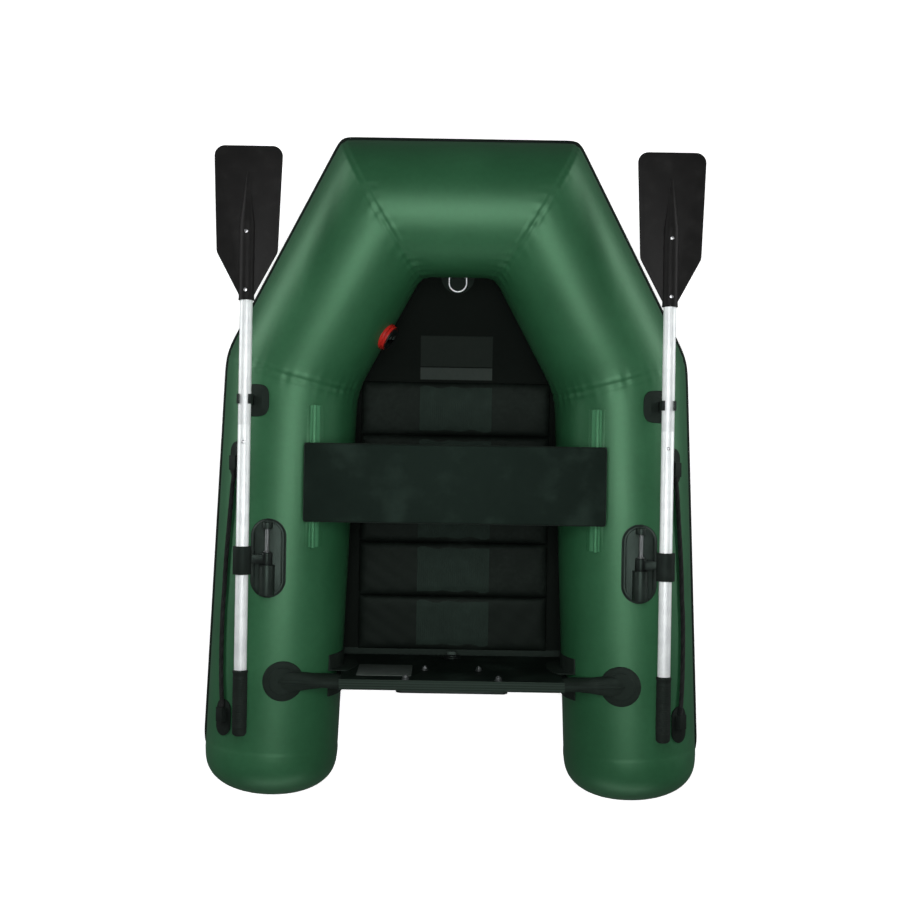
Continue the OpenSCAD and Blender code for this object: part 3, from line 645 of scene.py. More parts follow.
class Tree(NodeWriter):
    """A geometry node tree that ends with plain geometry in one material."""

    def __init__(self, name: str) -> None:
        """Starts an empty tree with a geometry input and output.

        Args:
            name: the tree's name.
        """
        super().__init__(bpy.data.node_groups.new(name, "GeometryNodeTree"))
        for way in ("INPUT", "OUTPUT"):
            self.tree.interface.new_socket("Geometry", in_out=way, socket_type="NodeSocketGeometry")
        self.entry: bpy.types.Node | None = None

    def asks(self, name: str, kind: str, value: object = None) -> None:
        """Adds a named input.

        Args:
            name: the input's name.
            kind: its socket kind.
            value: its usual value.
        """
        socket = self.tree.interface.new_socket(name, in_out="INPUT",
                                                socket_type=f"NodeSocket{kind}")
        if value is not None:
            socket.default_value = value

    def input(self, name: str) -> bpy.types.NodeSocket:
        """The output socket that carries a named input.

        Args:
            name: the input's name.

        Returns:
            The output socket of the tree's entry.
        """
        if self.entry is None:
            self.entry = self.tree.nodes.new("NodeGroupInput")
        return self.entry.outputs[name]

    def ends(self, geometry: bpy.types.NodeSocket) -> None:
        """Realizes the instances, sets the material and closes the tree.

        Args:
            geometry: what the tree has made.
        """
        real = self.add("GeometryNodeRealizeInstances", None, _0=geometry)
        dressed = self.add("GeometryNodeSetMaterial", None, _0=real.outputs[0],
                           Material=self.input("Material"))
        out = self.tree.nodes.new("NodeGroupOutput")
        self.link(dressed.outputs[0], out.inputs[0])

    def run(self, name: str, seed: bpy.types.Mesh, **values: object) -> bpy.types.Object:
        """Runs the tree on a mesh and keeps the plain result.

        Args:
            name: the new piece's name.
            seed: the mesh that goes in.
            **values: the named inputs, with _ for a space.

        Returns:
            The new piece, with no modifier.
        """
        piece = bpy.data.objects.new(name, seed)
        bpy.context.scene.collection.objects.link(piece)
        modifier = piece.modifiers.new("make", "NODES")
        modifier.node_group = self.tree
        identifiers = {item.name: item.identifier for item in self.tree.interface.items_tree
                       if item.in_out == "INPUT"}
        for key, value in values.items():
            modifier[identifiers[key.replace("_", " ")]] = value
        return applied(piece, 35.0)


class RowTree(Tree):
    """Copies of one small part in a straight row."""

    def __init__(self) -> None:
        """Writes the tree."""
        super().__init__("row of parts")
        self.asks("Count", "Int", 5)
        self.asks("Step", "Vector", (0.0, 0.1, 0.0))
        self.asks("Material", "Material")
        line = self.add("GeometryNodeMeshLine", {"mode": "OFFSET"}, Count=self.input("Count"),
                        Offset=self.input("Step"))
        copies = self.add("GeometryNodeInstanceOnPoints", None, Points=line.outputs[0],
                          Instance=self.input("Geometry"))
        self.ends(copies.outputs[0])


class ScatterTree(Tree):
    """Copies of one small part on chosen points, each turned by the point's own angle."""

    def __init__(self) -> None:
        """Writes the tree, which reads the part from an object input."""
        super().__init__("parts on points")
        self.asks("Part", "Object")
        self.asks("Size", "Float", 1.0)
        self.asks("Material", "Material")
        part = self.add("GeometryNodeObjectInfo", {"transform_space": "ORIGINAL"},
                        Object=self.input("Part"))
        turn = self.add("GeometryNodeInputNamedAttribute", {"data_type": "FLOAT_VECTOR"},
                        Name="turn")
        copies = self.add("GeometryNodeInstanceOnPoints", None, Points=self.input("Geometry"),
                          Instance=part.outputs["Geometry"], Rotation=turn.outputs[0],
                          Scale=self.input("Size"))
        self.ends(copies.outputs[0])

    def place(self, name: str, part: bpy.types.Object, spots: Sequence[Point],
              turns: Sequence[Point], material: bpy.types.Material) -> bpy.types.Object:
        """Puts the part on each spot.

        Args:
            name: the new piece's name.
            part: the small part, modelled at the origin; it is removed.
            spots: where the copies go.
            turns: the Euler angles of each copy.
            material: the material of all copies.

        Returns:
            The copies as one piece.
        """
        seed = bpy.data.meshes.new(name)
        seed.from_pydata([tuple(p) for p in spots], [], [])
        mark = seed.attributes.new("turn", "FLOAT_VECTOR", "POINT")
        mark.data.foreach_set("vector", np.array(turns, np.float32).ravel())
        made = self.run(name, seed, Part=part, Size=1.0, Material=material)
        bpy.data.objects.remove(part)
        return made


class RopeTree(Tree):
    """Laid rope: strands that wind round a path."""

    def __init__(self, strands: int = 10, ring_share: float = 0.80,
                 strand_share: float = 0.26) -> None:
        """Writes the tree.

        Args:
            strands: how many strands wind round the path.
            ring_share: radius of the ring of strands, as a share of the rope's radius.
            strand_share: radius of a strand, as a share of the rope's radius.
        """
        super().__init__("laid rope")
        for name, value in (("Radius", 0.005), ("Lay", 0.03)):
            self.asks(name, "Float", value)
        self.asks("Steps", "Int", 400)
        self.asks("Material", "Material")
        path = self.add("GeometryNodeMeshToCurve", None, _0=self.input("Geometry"))
        even = self.add("GeometryNodeResampleCurve", None, Curve=path.outputs[0],
                        Count=self.input("Steps"))
        length = self.add("GeometryNodeSplineParameter").outputs["Length"]
        turns = self.maths("DIVIDE", length, self.input("Lay"))
        tangent = self.add("GeometryNodeInputTangent").outputs[0]
        normal = self.add("GeometryNodeInputNormal").outputs[0]
        across = self.add("ShaderNodeVectorMath", {"operation": "CROSS_PRODUCT"},
                          _0=tangent, _1=normal).outputs[0]
        ring = self.maths("MULTIPLY", self.input("Radius"), ring_share)
        thick = self.maths("MULTIPLY", self.input("Radius"), strand_share)
        parts = []
        for k in range(strands):
            angle = self.maths("MULTIPLY", self.maths("ADD", turns, k / strands), 2 * math.pi)
            offset = self.add(
                "ShaderNodeVectorMath", {"operation": "ADD"},
                _0=self.scaled(normal, self.maths("MULTIPLY", self.maths("COSINE", angle), ring)),
                _1=self.scaled(across, self.maths("MULTIPLY", self.maths("SINE", angle), ring)))
            wound = self.add("GeometryNodeSetPosition", None, Geometry=even.outputs[0],
                             Offset=offset.outputs[0])
            profile = self.add("GeometryNodeCurvePrimitiveCircle", None, Resolution=6, Radius=thick)
            tube = self.add("GeometryNodeCurveToMesh", None, _0=wound.outputs[0],
                            _1=profile.outputs[0])
            tube.inputs["Fill Caps"].default_value = True
            parts.append(tube.outputs[0])
        whole = self.add("GeometryNodeJoinGeometry")
        for part in parts:
            self.link(part, whole.inputs[0])
        self.ends(whole.outputs[0])

    def scaled(self, vector: bpy.types.NodeSocket,
               by: bpy.types.NodeSocket) -> bpy.types.NodeSocket:
        """A vector times a number."""
        return self.add("ShaderNodeVectorMath", {"operation": "SCALE"}, _0=vector,
                        Scale=by).outputs[0]


# ---------------------------------------------------------------- finishes


class Recipe(NodeWriter):
    """Node tree of one material."""
    prefix = "ShaderNode"

    def __init__(self, name: str, colour: Colour, roughness: float,
                 tint: Colour | None = None, **uniform: float) -> None:
        """Starts a material.

        Args:
            name: the material's name.
            colour: its plain colour.
            roughness: its plain roughness.
            tint: colour of its shine.
            **uniform: other values that go straight on the shader's sockets.
        """
        self.material = bpy.data.materials.new(name)
        self.material.use_nodes = True
        super().__init__(self.material.node_tree)
        self.shader = self.tree.nodes["Principled BSDF"]
        self.shader.inputs["Base Color"].default_value = (*colour, 1)
        self.shader.inputs["Roughness"].default_value = roughness
        for key, value in uniform.items():
            self.shader.inputs[key.replace("_", " ")].default_value = value
        if tint is not None:
            self.shader.inputs["Specular Tint"].default_value = (*tint, 1)
        coordinates = self.add("TexCoord")
        self.object, self.uv = coordinates.outputs["Object"], coordinates.outputs["UV"]
        self.facing = coordinates.outputs["Normal"]

    def noise(self, size: float, detail: float = 3.0, where: bpy.types.NodeSocket | None = None,
              stretch: Point = (1, 1, 1)) -> bpy.types.NodeSocket:
        """Noise whose blotches are about a size in metres across.

        Args:
            size: size of a blotch in metres.
            detail: how many finer layers it has.
            where: coordinates to read, if not the object's.
            stretch: scale along each axis.

        Returns:
            The noise, from 0 to 1.
        """
        spread = self.add("Mapping", None, Vector=where or self.object, Scale=stretch)
        node = self.add("TexNoise", None, Vector=spread.outputs[0], Scale=1 / size, Detail=detail)
        return node.outputs[0]

    def waves(self, pitch: float, direction: str, where: bpy.types.NodeSocket,
              distortion: float = 0.0) -> bpy.types.NodeSocket:
        """Straight ribs of a pitch in metres across one axis.

        Args:
            pitch: distance between ribs in metres.
            direction: the axis they follow each other on.
            where: coordinates to read.
            distortion: how far they wander.

        Returns:
            Height of the ribs, from 0 to 1.
        """
        node = self.add("TexWave", {"wave_type": "BANDS", "bands_direction": direction},
                        Vector=where, Scale=2 * math.pi / (pitch * 20),
                        Distortion=distortion)
        return node.outputs[1]

    def ramp(self, factor: bpy.types.NodeSocket,
             stops: Sequence[tuple[float, Colour]]) -> bpy.types.NodeSocket:
        """Colours along a factor.

        Args:
            factor: what the colours follow.
            stops: (place, colour) pairs in rising order.

        Returns:
            The colour.
        """
        node = self.add("ValToRGB", None, _0=factor)
        elements = node.color_ramp.elements
        for element, (position, colour) in zip(elements, (stops[0], stops[-1])):
            element.position, element.color = position, (*colour, 1)
        for position, colour in stops[1:-1]:
            elements.new(position).color = (*colour, 1)
        return node.outputs[0]

    def colours(self, factor: bpy.types.NodeSocket, stops: Sequence[tuple[float, Colour]]) -> None:
        """Gives the shader its colour from a factor."""
        self.link(self.ramp(factor, stops), self.shader.inputs["Base Color"])

    def blend(self, factor: bpy.types.NodeSocket, a: bpy.types.NodeSocket,
              b: bpy.types.NodeSocket) -> bpy.types.NodeSocket:
        """Mixes two colours.

        Args:
            factor: share of the second colour.
            a: first colour.
            b: second colour.

        Returns:
            The mixed colour.
        """
        node = self.add("Mix", {"data_type": "RGBA"}, _0=factor)
        self.link(a, node.inputs[6])
        self.link(b, node.inputs[7])
        return node.outputs[2]

    def roughness(self, factor: bpy.types.NodeSocket, low: float, high: float) -> None:
        """Varies the roughness between two values."""
        node = self.add("MapRange", None, Value=factor, To_Min=low, To_Max=high)
        self.link(node.outputs[0], self.shader.inputs["Roughness"])

    def bumps(self, *layers: tuple[bpy.types.NodeSocket, float, float]) -> None:
        """Bump layers of (height, strength, depth in metres), one over the other.

        Args:
            *layers: the layers, lowest first.
        """
        under: bpy.types.NodeSocket | None = None
        for height, strength, depth in layers:
            node = self.add("Bump", None, Height=height, Strength=strength, Distance=depth)
            if under is not None:
                self.link(under, node.inputs["Normal"])
            under = node.outputs[0]
        if under is not None:
            self.link(under, self.shader.inputs["Normal"])


def shades(colour: Colour, *stops: tuple[float, float]) -> list[tuple[float, Colour]]:
    """Stops of a colour ramp, from pairs of a place and a share of the colour."""
    return [(place, tuple(share * v for v in colour)) for place, share in stops]


@dataclass(frozen=True)
class Finish:
    """Base of all finishes."""
    name: str = "finish"

    def material(self) -> bpy.types.Material:
        """The finish's material, made the first time it is asked for."""
        return bpy.data.materials.get(self.name) or self.write().material

    def write(self) -> Recipe:
        """Writes the material's nodes."""
        raise NotImplementedError


@dataclass(frozen=True)
class CoatedFabric(Finish):
    """Coated boat fabric: a satin skin over a fine weave that shows through."""
    colour: Colour = (0.0165, 0.086, 0.0345)
    deep: Colour = (0.0125, 0.069, 0.027)
    pale: Colour = (0.0235, 0.107, 0.045)
    roughness: float = 0.47
    weave: float = 0.0016
    by_uv: bool = True
    gloss: float = 0.85
    tint: Colour = (0.50, 1.0, 0.62)

    def write(self) -> Recipe:
        """Mottled colour, scuffed gloss and woven bump.

        Returns:
            The material's recipe.
        """
        r = Recipe(self.name, self.colour, self.roughness, self.tint, Specular_IOR_Level=self.gloss)
        broad, fine = r.noise(0.22, 4.0), r.noise(0.012, 6.0)
        mixed = r.maths("ADD", r.maths("MULTIPLY", broad, 0.7), r.maths("MULTIPLY", fine, 0.3))
        # Deep and pale are the fabric's own uneven tone; on the slat mat the pale stop is painted
        # sheen.
        r.colours(mixed, [(0.30, self.deep), (0.5, self.colour), (0.72, self.pale)])
        r.roughness(mixed, self.roughness - 0.09, self.roughness + 0.10)
        where = r.uv if self.by_uv else r.object
        threads = r.maths("MULTIPLY", r.waves(self.weave, "X", where),
                          r.waves(self.weave, "Y", where))
        r.bumps((threads, 0.10, 0.0002), (fine, 0.10, 0.0008), (broad, 0.22, 0.008))
        return r


@dataclass(frozen=True)
class Moulded(Finish):
    """Moulded plastic or rubber with a fine spark-eroded grain."""
    colour: Colour = (0.012, 0.013, 0.013)
    roughness: float = 0.48
    grain: float = 0.0009
    worn: float = 1.7
    specular: float = 0.5
    tint: Colour = (0.72, 1.0, 0.86)

    def write(self) -> Recipe:
        """Slightly uneven colour, fine grain and broad gloss changes.

        Returns:
            The material's recipe.
        """
        r = Recipe(self.name, self.colour, self.roughness, self.tint,
                   Specular_IOR_Level=self.specular)
        broad, fine = r.noise(0.035, 3.0), r.noise(self.grain, 2.0)
        r.colours(broad, shades(self.colour, (0.32, 0.8), (0.55, 1.0), (0.80, self.worn)))
        r.roughness(broad, self.roughness - 0.07, self.roughness + 0.11)
        r.bumps((fine, 0.22, 0.0003), (broad, 0.10, 0.0012))
        return r


@dataclass(frozen=True)
class FilmBoard(Finish):
    """Plywood under a dark non-slip film: a fine mesh on its faces, plies on its edges."""
    colour: Colour = (0.010, 0.014, 0.012)
    edge: Colour = (0.030, 0.036, 0.030)
    roughness: float = 0.52
    ply: float = 0.0028
    along: str = "Z"

    def write(self) -> Recipe:
        """Film with lighter blotches of painted sheen, mesh and plies, told apart by the way the
        face looks.

        Returns:
            The material's recipe.
        """
        r = Recipe(self.name, self.colour, self.roughness, (0.6, 1.0, 0.8), Specular_IOR_Level=0.08)
        broad, fine = r.noise(0.09, 5.0), r.noise(0.004, 3.0, stretch=(1, 6, 1))
        mesh = r.add("TexVoronoi", {"distance": "CHEBYCHEV"}, Vector=r.object, Scale=1 / 0.0032,
                     Randomness=0.08).outputs[0]
        # The lightest stop, 2.3 times the film's colour, is painted sheen: broad blotches that
        # stand in for the boards' mottled reflections.
        film = r.ramp(broad, shades(self.colour, (0.34, 0.70), (0.52, 1.0), (0.70, 2.3)))
        plies = r.ramp(r.waves(self.ply * 2, self.along, r.object, 0.4),
                       shades(self.edge, (0.35, 1.0), (0.65, 0.6)))
        facing = r.add("SeparateXYZ", None, _0=r.facing).outputs["XYZ".index(self.along)]
        flat = r.add("MapRange", None, Value=r.maths("ABSOLUTE", facing), From_Min=0.80,
                     From_Max=0.95).outputs[0]
        r.link(r.blend(flat, plies, film), r.shader.inputs["Base Color"])
        r.roughness(broad, self.roughness - 0.08, self.roughness + 0.12)
        r.bumps((mesh, 0.16, 0.0002), (fine, 0.10, 0.0004), (broad, 0.10, 0.003))
        return r


@dataclass(frozen=True)
class Metal(Finish):
    """Bare metal with drawn or rolled marks."""
    colour: Colour = (0.78, 0.79, 0.80)
    roughness: float = 0.24
    grain: Point = (1, 1, 1)
    shine: float = 1.0

    def write(self) -> Recipe:
        """Marks stretched along the working direction and a few dull blotches.

        Returns:
            The material's recipe.
        """
        r = Recipe(self.name, self.colour, self.roughness, Metallic=self.shine)
        marks, blotch = r.noise(0.0012, 4.0, stretch=self.grain), r.noise(0.03, 3.0)
        c = self.colour
        r.colours(blotch, [(0.35, (c[0] * 0.90, c[1] * 0.90, c[2] * 0.91)), (0.6, c)])
        mixed = r.maths("ADD", r.maths("MULTIPLY", marks, 0.6), r.maths("MULTIPLY", blotch, 0.4))
        r.roughness(mixed, self.roughness - 0.07, self.roughness + 0.14)
        r.bumps((marks, 0.08, 0.0002))
        return r


@dataclass(frozen=True)
class Rope(Finish):
    """Dark synthetic rope with fine filaments."""
    colour: Colour = (0.0075, 0.009, 0.0085)

    def write(self) -> Recipe:
        """Filaments in the bump and a little fluff in the colour.

        Returns:
            The material's recipe.
        """
        r = Recipe(self.name, self.colour, 0.66, Specular_IOR_Level=0.2, Sheen_Weight=0.06)
        hairs, broad = r.noise(0.0007, 4.0, stretch=(1, 0.25, 1)), r.noise(0.02, 2.0)
        r.colours(r.maths("MULTIPLY", hairs, broad),
                  [(0.12, (0.004, 0.005, 0.005)), (0.3, self.colour), (0.5, (0.020, 0.022, 0.021))])
        r.bumps((hairs, 0.5, 0.0004))
        return r


HULL_GREEN = CoatedFabric("hull coated fabric")
TAPE_GREEN = CoatedFabric("seam and rail tape", (0.052, 0.195, 0.092), (0.042, 0.165, 0.076),
                          (0.066, 0.225, 0.110), 0.46, by_uv=False)
HULL_PLAIN = CoatedFabric("hull fabric patches", by_uv=False)
DIM: Colour = (0.80, 1.0, 0.88)
FLOOR_BLACK = CoatedFabric("floor coated fabric", (0.0032, 0.0044, 0.0036),
                           (0.0022, 0.0031, 0.0025), (0.0050, 0.0066, 0.0055), 0.60, 0.0018,
                           False, 0.05, DIM)
# The mat's pale colour, spread in broad blotches by the noise, is painted sheen on the pockets.
MAT_BLACK = CoatedFabric("slat mat fabric", (0.0048, 0.0070, 0.0057), (0.0032, 0.0047, 0.0038),
                         (0.0125, 0.0175, 0.0145), 0.50, 0.0016, False, 0.08, DIM)
STRIP_GREY = Moulded("anti-slip strip", (0.0165, 0.0260, 0.0210), 0.52, 0.0012, 1.3, 0.08)
PANEL_GREY = CoatedFabric("blank panel", (0.0120, 0.0160, 0.0135), (0.0100, 0.0135, 0.0115),
                          (0.0145, 0.0185, 0.0160), 0.58, 0.0014, False, 0.06, DIM)
PANEL_PALE = CoatedFabric("blank panel foot", (0.036, 0.045, 0.040), (0.031, 0.039, 0.034),
                          (0.042, 0.052, 0.046), 0.58, 0.0014, False, 0.06, DIM)
RUBBER = Moulded("black rubber", (0.0085, 0.0110, 0.0097), 0.58, 0.0010, 1.8, 0.16)
PATCH_RUBBER = Moulded("glued rubber patch", (0.0125, 0.0175, 0.0145), 0.62, 0.0012, 1.5, 0.14)
PLASTIC = Moulded("black plastic", (0.0075, 0.0085, 0.0083), 0.42, 0.0008, 1.6, 0.22)
BLADE_BLACK = Moulded("oar blade plastic", (0.0110, 0.0108, 0.0106), 0.50, 0.0011, 1.6, 0.12,
                      (1.0, 1.0, 1.0))
GRIP_RUBBER = Moulded("soft grip", (0.0085, 0.0105, 0.0092), 0.64, 0.0009, 1.6, 0.20)
RED = Moulded("red plastic", (0.52, 0.020, 0.014), 0.38, 0.0008, 1.2, 0.4, (1.0, 0.7, 0.7))
GREY = Moulded("grey label sheet", (0.085, 0.100, 0.092), 0.50, 0.0014, 1.15, 0.2)
BOLT_STEEL = Metal("dull bolt steel", (0.13, 0.14, 0.14), 0.50)
LOCK_RUBBER = Moulded("rowlock moulding", (0.0105, 0.0140, 0.0122), 0.44, 0.0010, 1.8, 0.32)
BOARD = FilmBoard("bench board", (0.0062, 0.0100, 0.0080), (0.022, 0.030, 0.025))
TRANSOM_BOARD = FilmBoard("transom board", (0.0070, 0.0105, 0.0086), (0.030, 0.043, 0.035), 0.55,
                          0.0030, "Y")
STEEL = Metal("stainless steel", (0.62, 0.63, 0.64), 0.30)
AXLE_STEEL = Metal("dull axle steel", (0.14, 0.15, 0.15), 0.46)
ALUMINIUM = Metal("anodised tube", (0.93, 0.97, 0.965), 0.50, (1, 0.05, 1), 0.42)
ROPE = Rope("grab line rope")


# ---------------------------------------------------------------- studio


@dataclass
class Studio:
    """Camera, floor and soft lights."""
    camera_at: Point = (-0.013, 0.049, 3.397)
    lens: float = 52.76
    turn: float = 0.95
    floor_size: float = 12.0
    floor_glow: float = 0.78
    backdrop_glow: float = 0.86

    def build(self) -> None:
        """Sets up the whole studio."""
        self.camera()
        self.floor()
        self.lights()

    def camera(self) -> None:
        """Camera straight above the boat."""
        data = bpy.data.cameras.new("camera")
        data.sensor_width, data.lens = 36.0, self.lens
        data.clip_end = 60.0
        camera = bpy.data.objects.new("camera", data)
        camera.location = self.camera_at
        camera.rotation_euler = (0, 0, math.radians(self.turn))
        bpy.context.scene.collection.objects.link(camera)
        bpy.context.scene.camera = camera

    def floor(self) -> None:
        """Plain pale floor just under the boat."""
        reach, rim = self.floor_size, 96
        floor = mesh_object("studio_floor", np.array(
            [(reach * math.cos(a), reach * math.sin(a), -0.001) for a in turns(rim)]),
            [tuple(range(rim))], outward=False)
        r = Recipe("studio floor", (0.93, 0.93, 0.93), 0.9, Specular_IOR_Level=0.1,
                   Emission_Strength=self.floor_glow)
        r.shader.inputs["Emission Color"].default_value = (1, 1, 1, 1)
        r.colours(r.noise(1.5, 2.0), [(0.3, (0.925, 0.925, 0.925)), (0.7, (0.935, 0.935, 0.935))])
        floor.data.materials.append(r.material)
        floor.visible_diffuse = floor.visible_glossy = False
        self.backdrop(rim)

    def backdrop(self, rim: int) -> None:
        """Pale dome that closes the room behind the floor's edge.

        Args:
            rim: number of points on the floor's rim.
        """
        reach = self.floor_size
        rings = [[(reach * math.cos(b) * math.cos(a), reach * math.cos(b) * math.sin(a),
                   reach * math.sin(b) - 0.05) for a in turns(rim)]
                 for b in np.linspace(0, 1.5, 24)]
        faces = [tuple(reversed(f)) for f in grid_faces(len(rings), rim, wrap_cols=True)]
        dome = mesh_object("studio_backdrop", np.array(rings), faces, 60.0, outward=False)
        r = Recipe("studio backdrop", (0.02, 0.02, 0.02), 1.0, Specular_IOR_Level=0.0,
                   Emission_Strength=self.backdrop_glow)
        r.shader.inputs["Emission Color"].default_value = (1, 1, 1, 1)
        dome.data.materials.append(r.material)
        for ray in ("diffuse", "glossy", "transmission", "shadow"):
            setattr(dome, f"visible_{ray}", False)

    def lights(self) -> None:
        """One long soft box over the boat, a smaller one ahead of it and a faint surround."""
        world = bpy.context.scene.world or bpy.data.worlds.new("surround")
        bpy.context.scene.world = world
        world.use_nodes = True
        backdrop = world.node_tree.nodes["Background"]
        backdrop.inputs[0].default_value = (0.95, 0.97, 1.0, 1)
        backdrop.inputs[1].default_value = 0.11
        self.soft_box("box_over", (0.0, 0.02, 2.5), (0.75, 1.35), 31)
        self.soft_box("box_bow", (0.0, 0.75, 2.6), (1.2, 0.35), 4)
        for side in Side:
            self.soft_box(f"box_low_{side.tag}", (side.value * 2.4, 0.9, 0.50), (2.2, 0.6), 26,
                          Vector((0, 0.3, 0.2)))
        self.soft_box("box_aft", (0.0, -2.6, 0.8), (2.4, 0.7), 9, Vector((0, -0.4, 0.2)))
        view = bpy.context.scene.view_settings
        view.view_transform = "Standard"
        view.look = "None"

    def soft_box(self, name: str, at: Point, size: tuple[float, float], power: float,
                 aim: Vector | None = None) -> None:
        """One rectangular light that faces straight down, or towards a point.

        Args:
            name: the light's name.
            at: where it hangs.
            size: its width and length in metres.
            power: its power in watts.
            aim: the point it faces, if not straight down.
        """
        data = bpy.data.lights.new(name, "AREA")
        data.shape, data.size, data.size_y, data.energy = "RECTANGLE", size[0], size[1], power
        light = bpy.data.objects.new(name, data)
        light.location = at
        light.visible_camera = False
        if aim is not None:
            light.rotation_euler = (Vector(at) - aim).to_track_quat("Z", "Y").to_euler()
        bpy.context.scene.collection.objects.link(light)


# ---------------------------------------------------------------- grab lines


@dataclass
class GrabLines:
    """The two ropes along the outer shoulders of the side tubes."""
    diameter: float = 0.010
    lay: float = 0.034
    steps: int = 420
    route: tuple[Point, ...] = (
        (0.520, 0.002, 0.284), (0.522, -0.015, 0.282), (0.526, -0.050, 0.280),
        (0.529, -0.090, 0.279), (0.533, -0.140, 0.277), (0.537, -0.190, 0.275),
        (0.540, -0.240, 0.274), (0.542, -0.290, 0.274), (0.545, -0.340, 0.273),
        (0.546, -0.390, 0.274), (0.546, -0.440, 0.276), (0.545, -0.490, 0.279),
        (0.543, -0.530, 0.283), (0.541, -0.555, 0.285), (0.541, -0.574, 0.286))

    def build(self) -> None:
        """Makes both ropes and puts them on the hull in place of the CAD grab lines."""
        tree = RopeTree()
        for side in Side:
            path = [(x * side.value, y, z) for x, y, z in self.route]
            seed = bpy.data.meshes.new("route")
            fine = self.eased(path)
            seed.from_pydata(fine, [(i, i + 1) for i in range(len(fine) - 1)], [])
            rope = tree.run(f"rope_{side.tag}", seed, Radius=self.diameter / 2, Lay=self.lay,
                            Steps=self.steps, Material=ROPE.material())
            settle(rope, ROPE, "hull", "rope", f"grab_line_{side.tag}")
            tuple(path[0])

    def eased(self, path: Sequence[Point], steps: int = 8) -> list[Point]:
        """Smooth line through the route's points.

        Args:
            path: the route's points.
            steps: steps between two points.

        Returns:
            Points of the smooth line.
        """
        p = np.array([path[0], *path, path[-1]], float)
        result: list[Point] = []
        for i in range(1, len(p) - 2):
            for t in np.linspace(0, 1, steps, endpoint=False):
                result.append(tuple(cubic(*p[i - 1:i + 3], t).tolist()))
        result.append(tuple(path[-1]))
        return result


# ---------------------------------------------------------------- hull


def bell(x: np.ndarray) -> np.ndarray:
    """Height of the bell curve."""
    return np.exp(-x * x / 2) / math.sqrt(2 * math.pi)


def rise(x: np.ndarray) -> np.ndarray:
    """Share of the bell curve before x."""
    return 0.5 * (1 + np.vectorize(math.erf)(x / math.sqrt(2)))


def step(x: np.ndarray) -> np.ndarray:
    """Smooth step from 0 to 1 as x goes from 0 to 1."""
    t = np.clip(x, 0, 1)
    return t * t * (3 - 2 * t)


@dataclass
class HullShape:
    """Centreline of the air tubes and the lines that run along their skin."""
    radius: float = TUBE_R
    corners: tuple[Point, ...] = (
        (0.4378, -0.687, TUBE_R), (JOINT_X, JOINT_Y, TUBE_R), (0.183, 0.623, 0.240),
        (-0.183, 0.623, 0.240), (-JOINT_X, JOINT_Y, TUBE_R), (-0.4378, -0.687, TUBE_R))
    easing: tuple[float, ...] = (0.026, 0.014, 0.014, 0.026)
    close: float = 0.004
    wide: float = 0.024
    across: list[np.ndarray] = field(default_factory=list)
    upward: list[np.ndarray] = field(default_factory=list)

    def __post_init__(self) -> None:
        """Finds each tube's direction and the frame carried round the mitres."""
        p = np.array(self.corners)
        d = p[1:] - p[:-1]
        self.lengths = np.linalg.norm(d, axis=1)
        self.ways = d / self.lengths[:, None]
        self.mitres = [(a + b) / np.linalg.norm(a + b) for a, b in zip(self.ways, self.ways[1:])]
        out = np.cross(self.ways[0], (0, 0, 1.0))
        out /= np.linalg.norm(out)
        up = np.cross(out, self.ways[0])
        self.across, self.upward = [out], [up]
        for n in self.mitres:
            self.across.append(self.across[-1] - 2 * (self.across[-1] @ n) * n)
            self.upward.append(self.upward[-1] - 2 * (self.upward[-1] @ n) * n)

    def stations(self) -> list[np.ndarray]:
        """Shares along each tube, close together near the joints.

        Returns:
            The shares from 0 to 1, one array for each tube.
        """
        result = []
        for length in self.lengths:
            gaps, reach = [], 0.0
            while reach < length / 2:
                gap = self.close if reach < 0.060 else min(self.wide, gaps[-1] * 1.3)
                gaps.append(gap)
                reach += gap
            half = np.concatenate([[0], np.cumsum(gaps)]) / reach * 0.5
            result.append(np.concatenate([half[:-1], 1 - half[::-1]]))
        return result

    def line(self, out: float, up: float) -> tuple[np.ndarray, np.ndarray, np.ndarray, np.ndarray]:
        """Line along the skin, eased round the joints.

        Args:
            out: distance from the centreline away from the boat's middle.
            up: distance from the centreline upwards.

        Returns:
            Points, outward directions, running lengths and distances to the nearest joint.
        """
        p = np.array(self.corners)
        offs = [out * a + up * b for a, b in zip(self.across, self.upward)]
        knots = [p[0] + offs[0]]
        for k, n in enumerate(self.mitres):
            t = -(offs[k] @ n) / (self.ways[k] @ n)
            knots.append(p[k + 1] + offs[k] + self.ways[k] * t)
        knots.append(p[-1] + offs[-1])
        spans = [float(np.linalg.norm(b - a)) for a, b in zip(knots, knots[1:])]
        marks = np.concatenate([[0], np.cumsum(spans)])
        t = np.concatenate([marks[k] + s[(0 if k == 0 else 1):] * spans[k]
                            for k, s in enumerate(self.stations())])
        points = knots[0] + t[:, None] * self.ways[0]
        outward = np.repeat(np.array(offs[0])[None, :], len(t), 0)
        near = np.full(len(t), 9.0)
        for k, sigma in enumerate(self.easing):
            x = (t - marks[k + 1]) / sigma
            turn = self.ways[k + 1] - self.ways[k]
            points = points + (sigma * (x * rise(x) + bell(x)))[:, None] * turn
            outward = outward + rise(x)[:, None] * (offs[k + 1] - offs[k])
            near = np.where(np.abs(t - marks[k + 1]) < np.abs(near), t - marks[k + 1], near)
        norm = np.linalg.norm(outward, axis=1)
        return points, outward / np.maximum(norm, 1e-9)[:, None], t, near


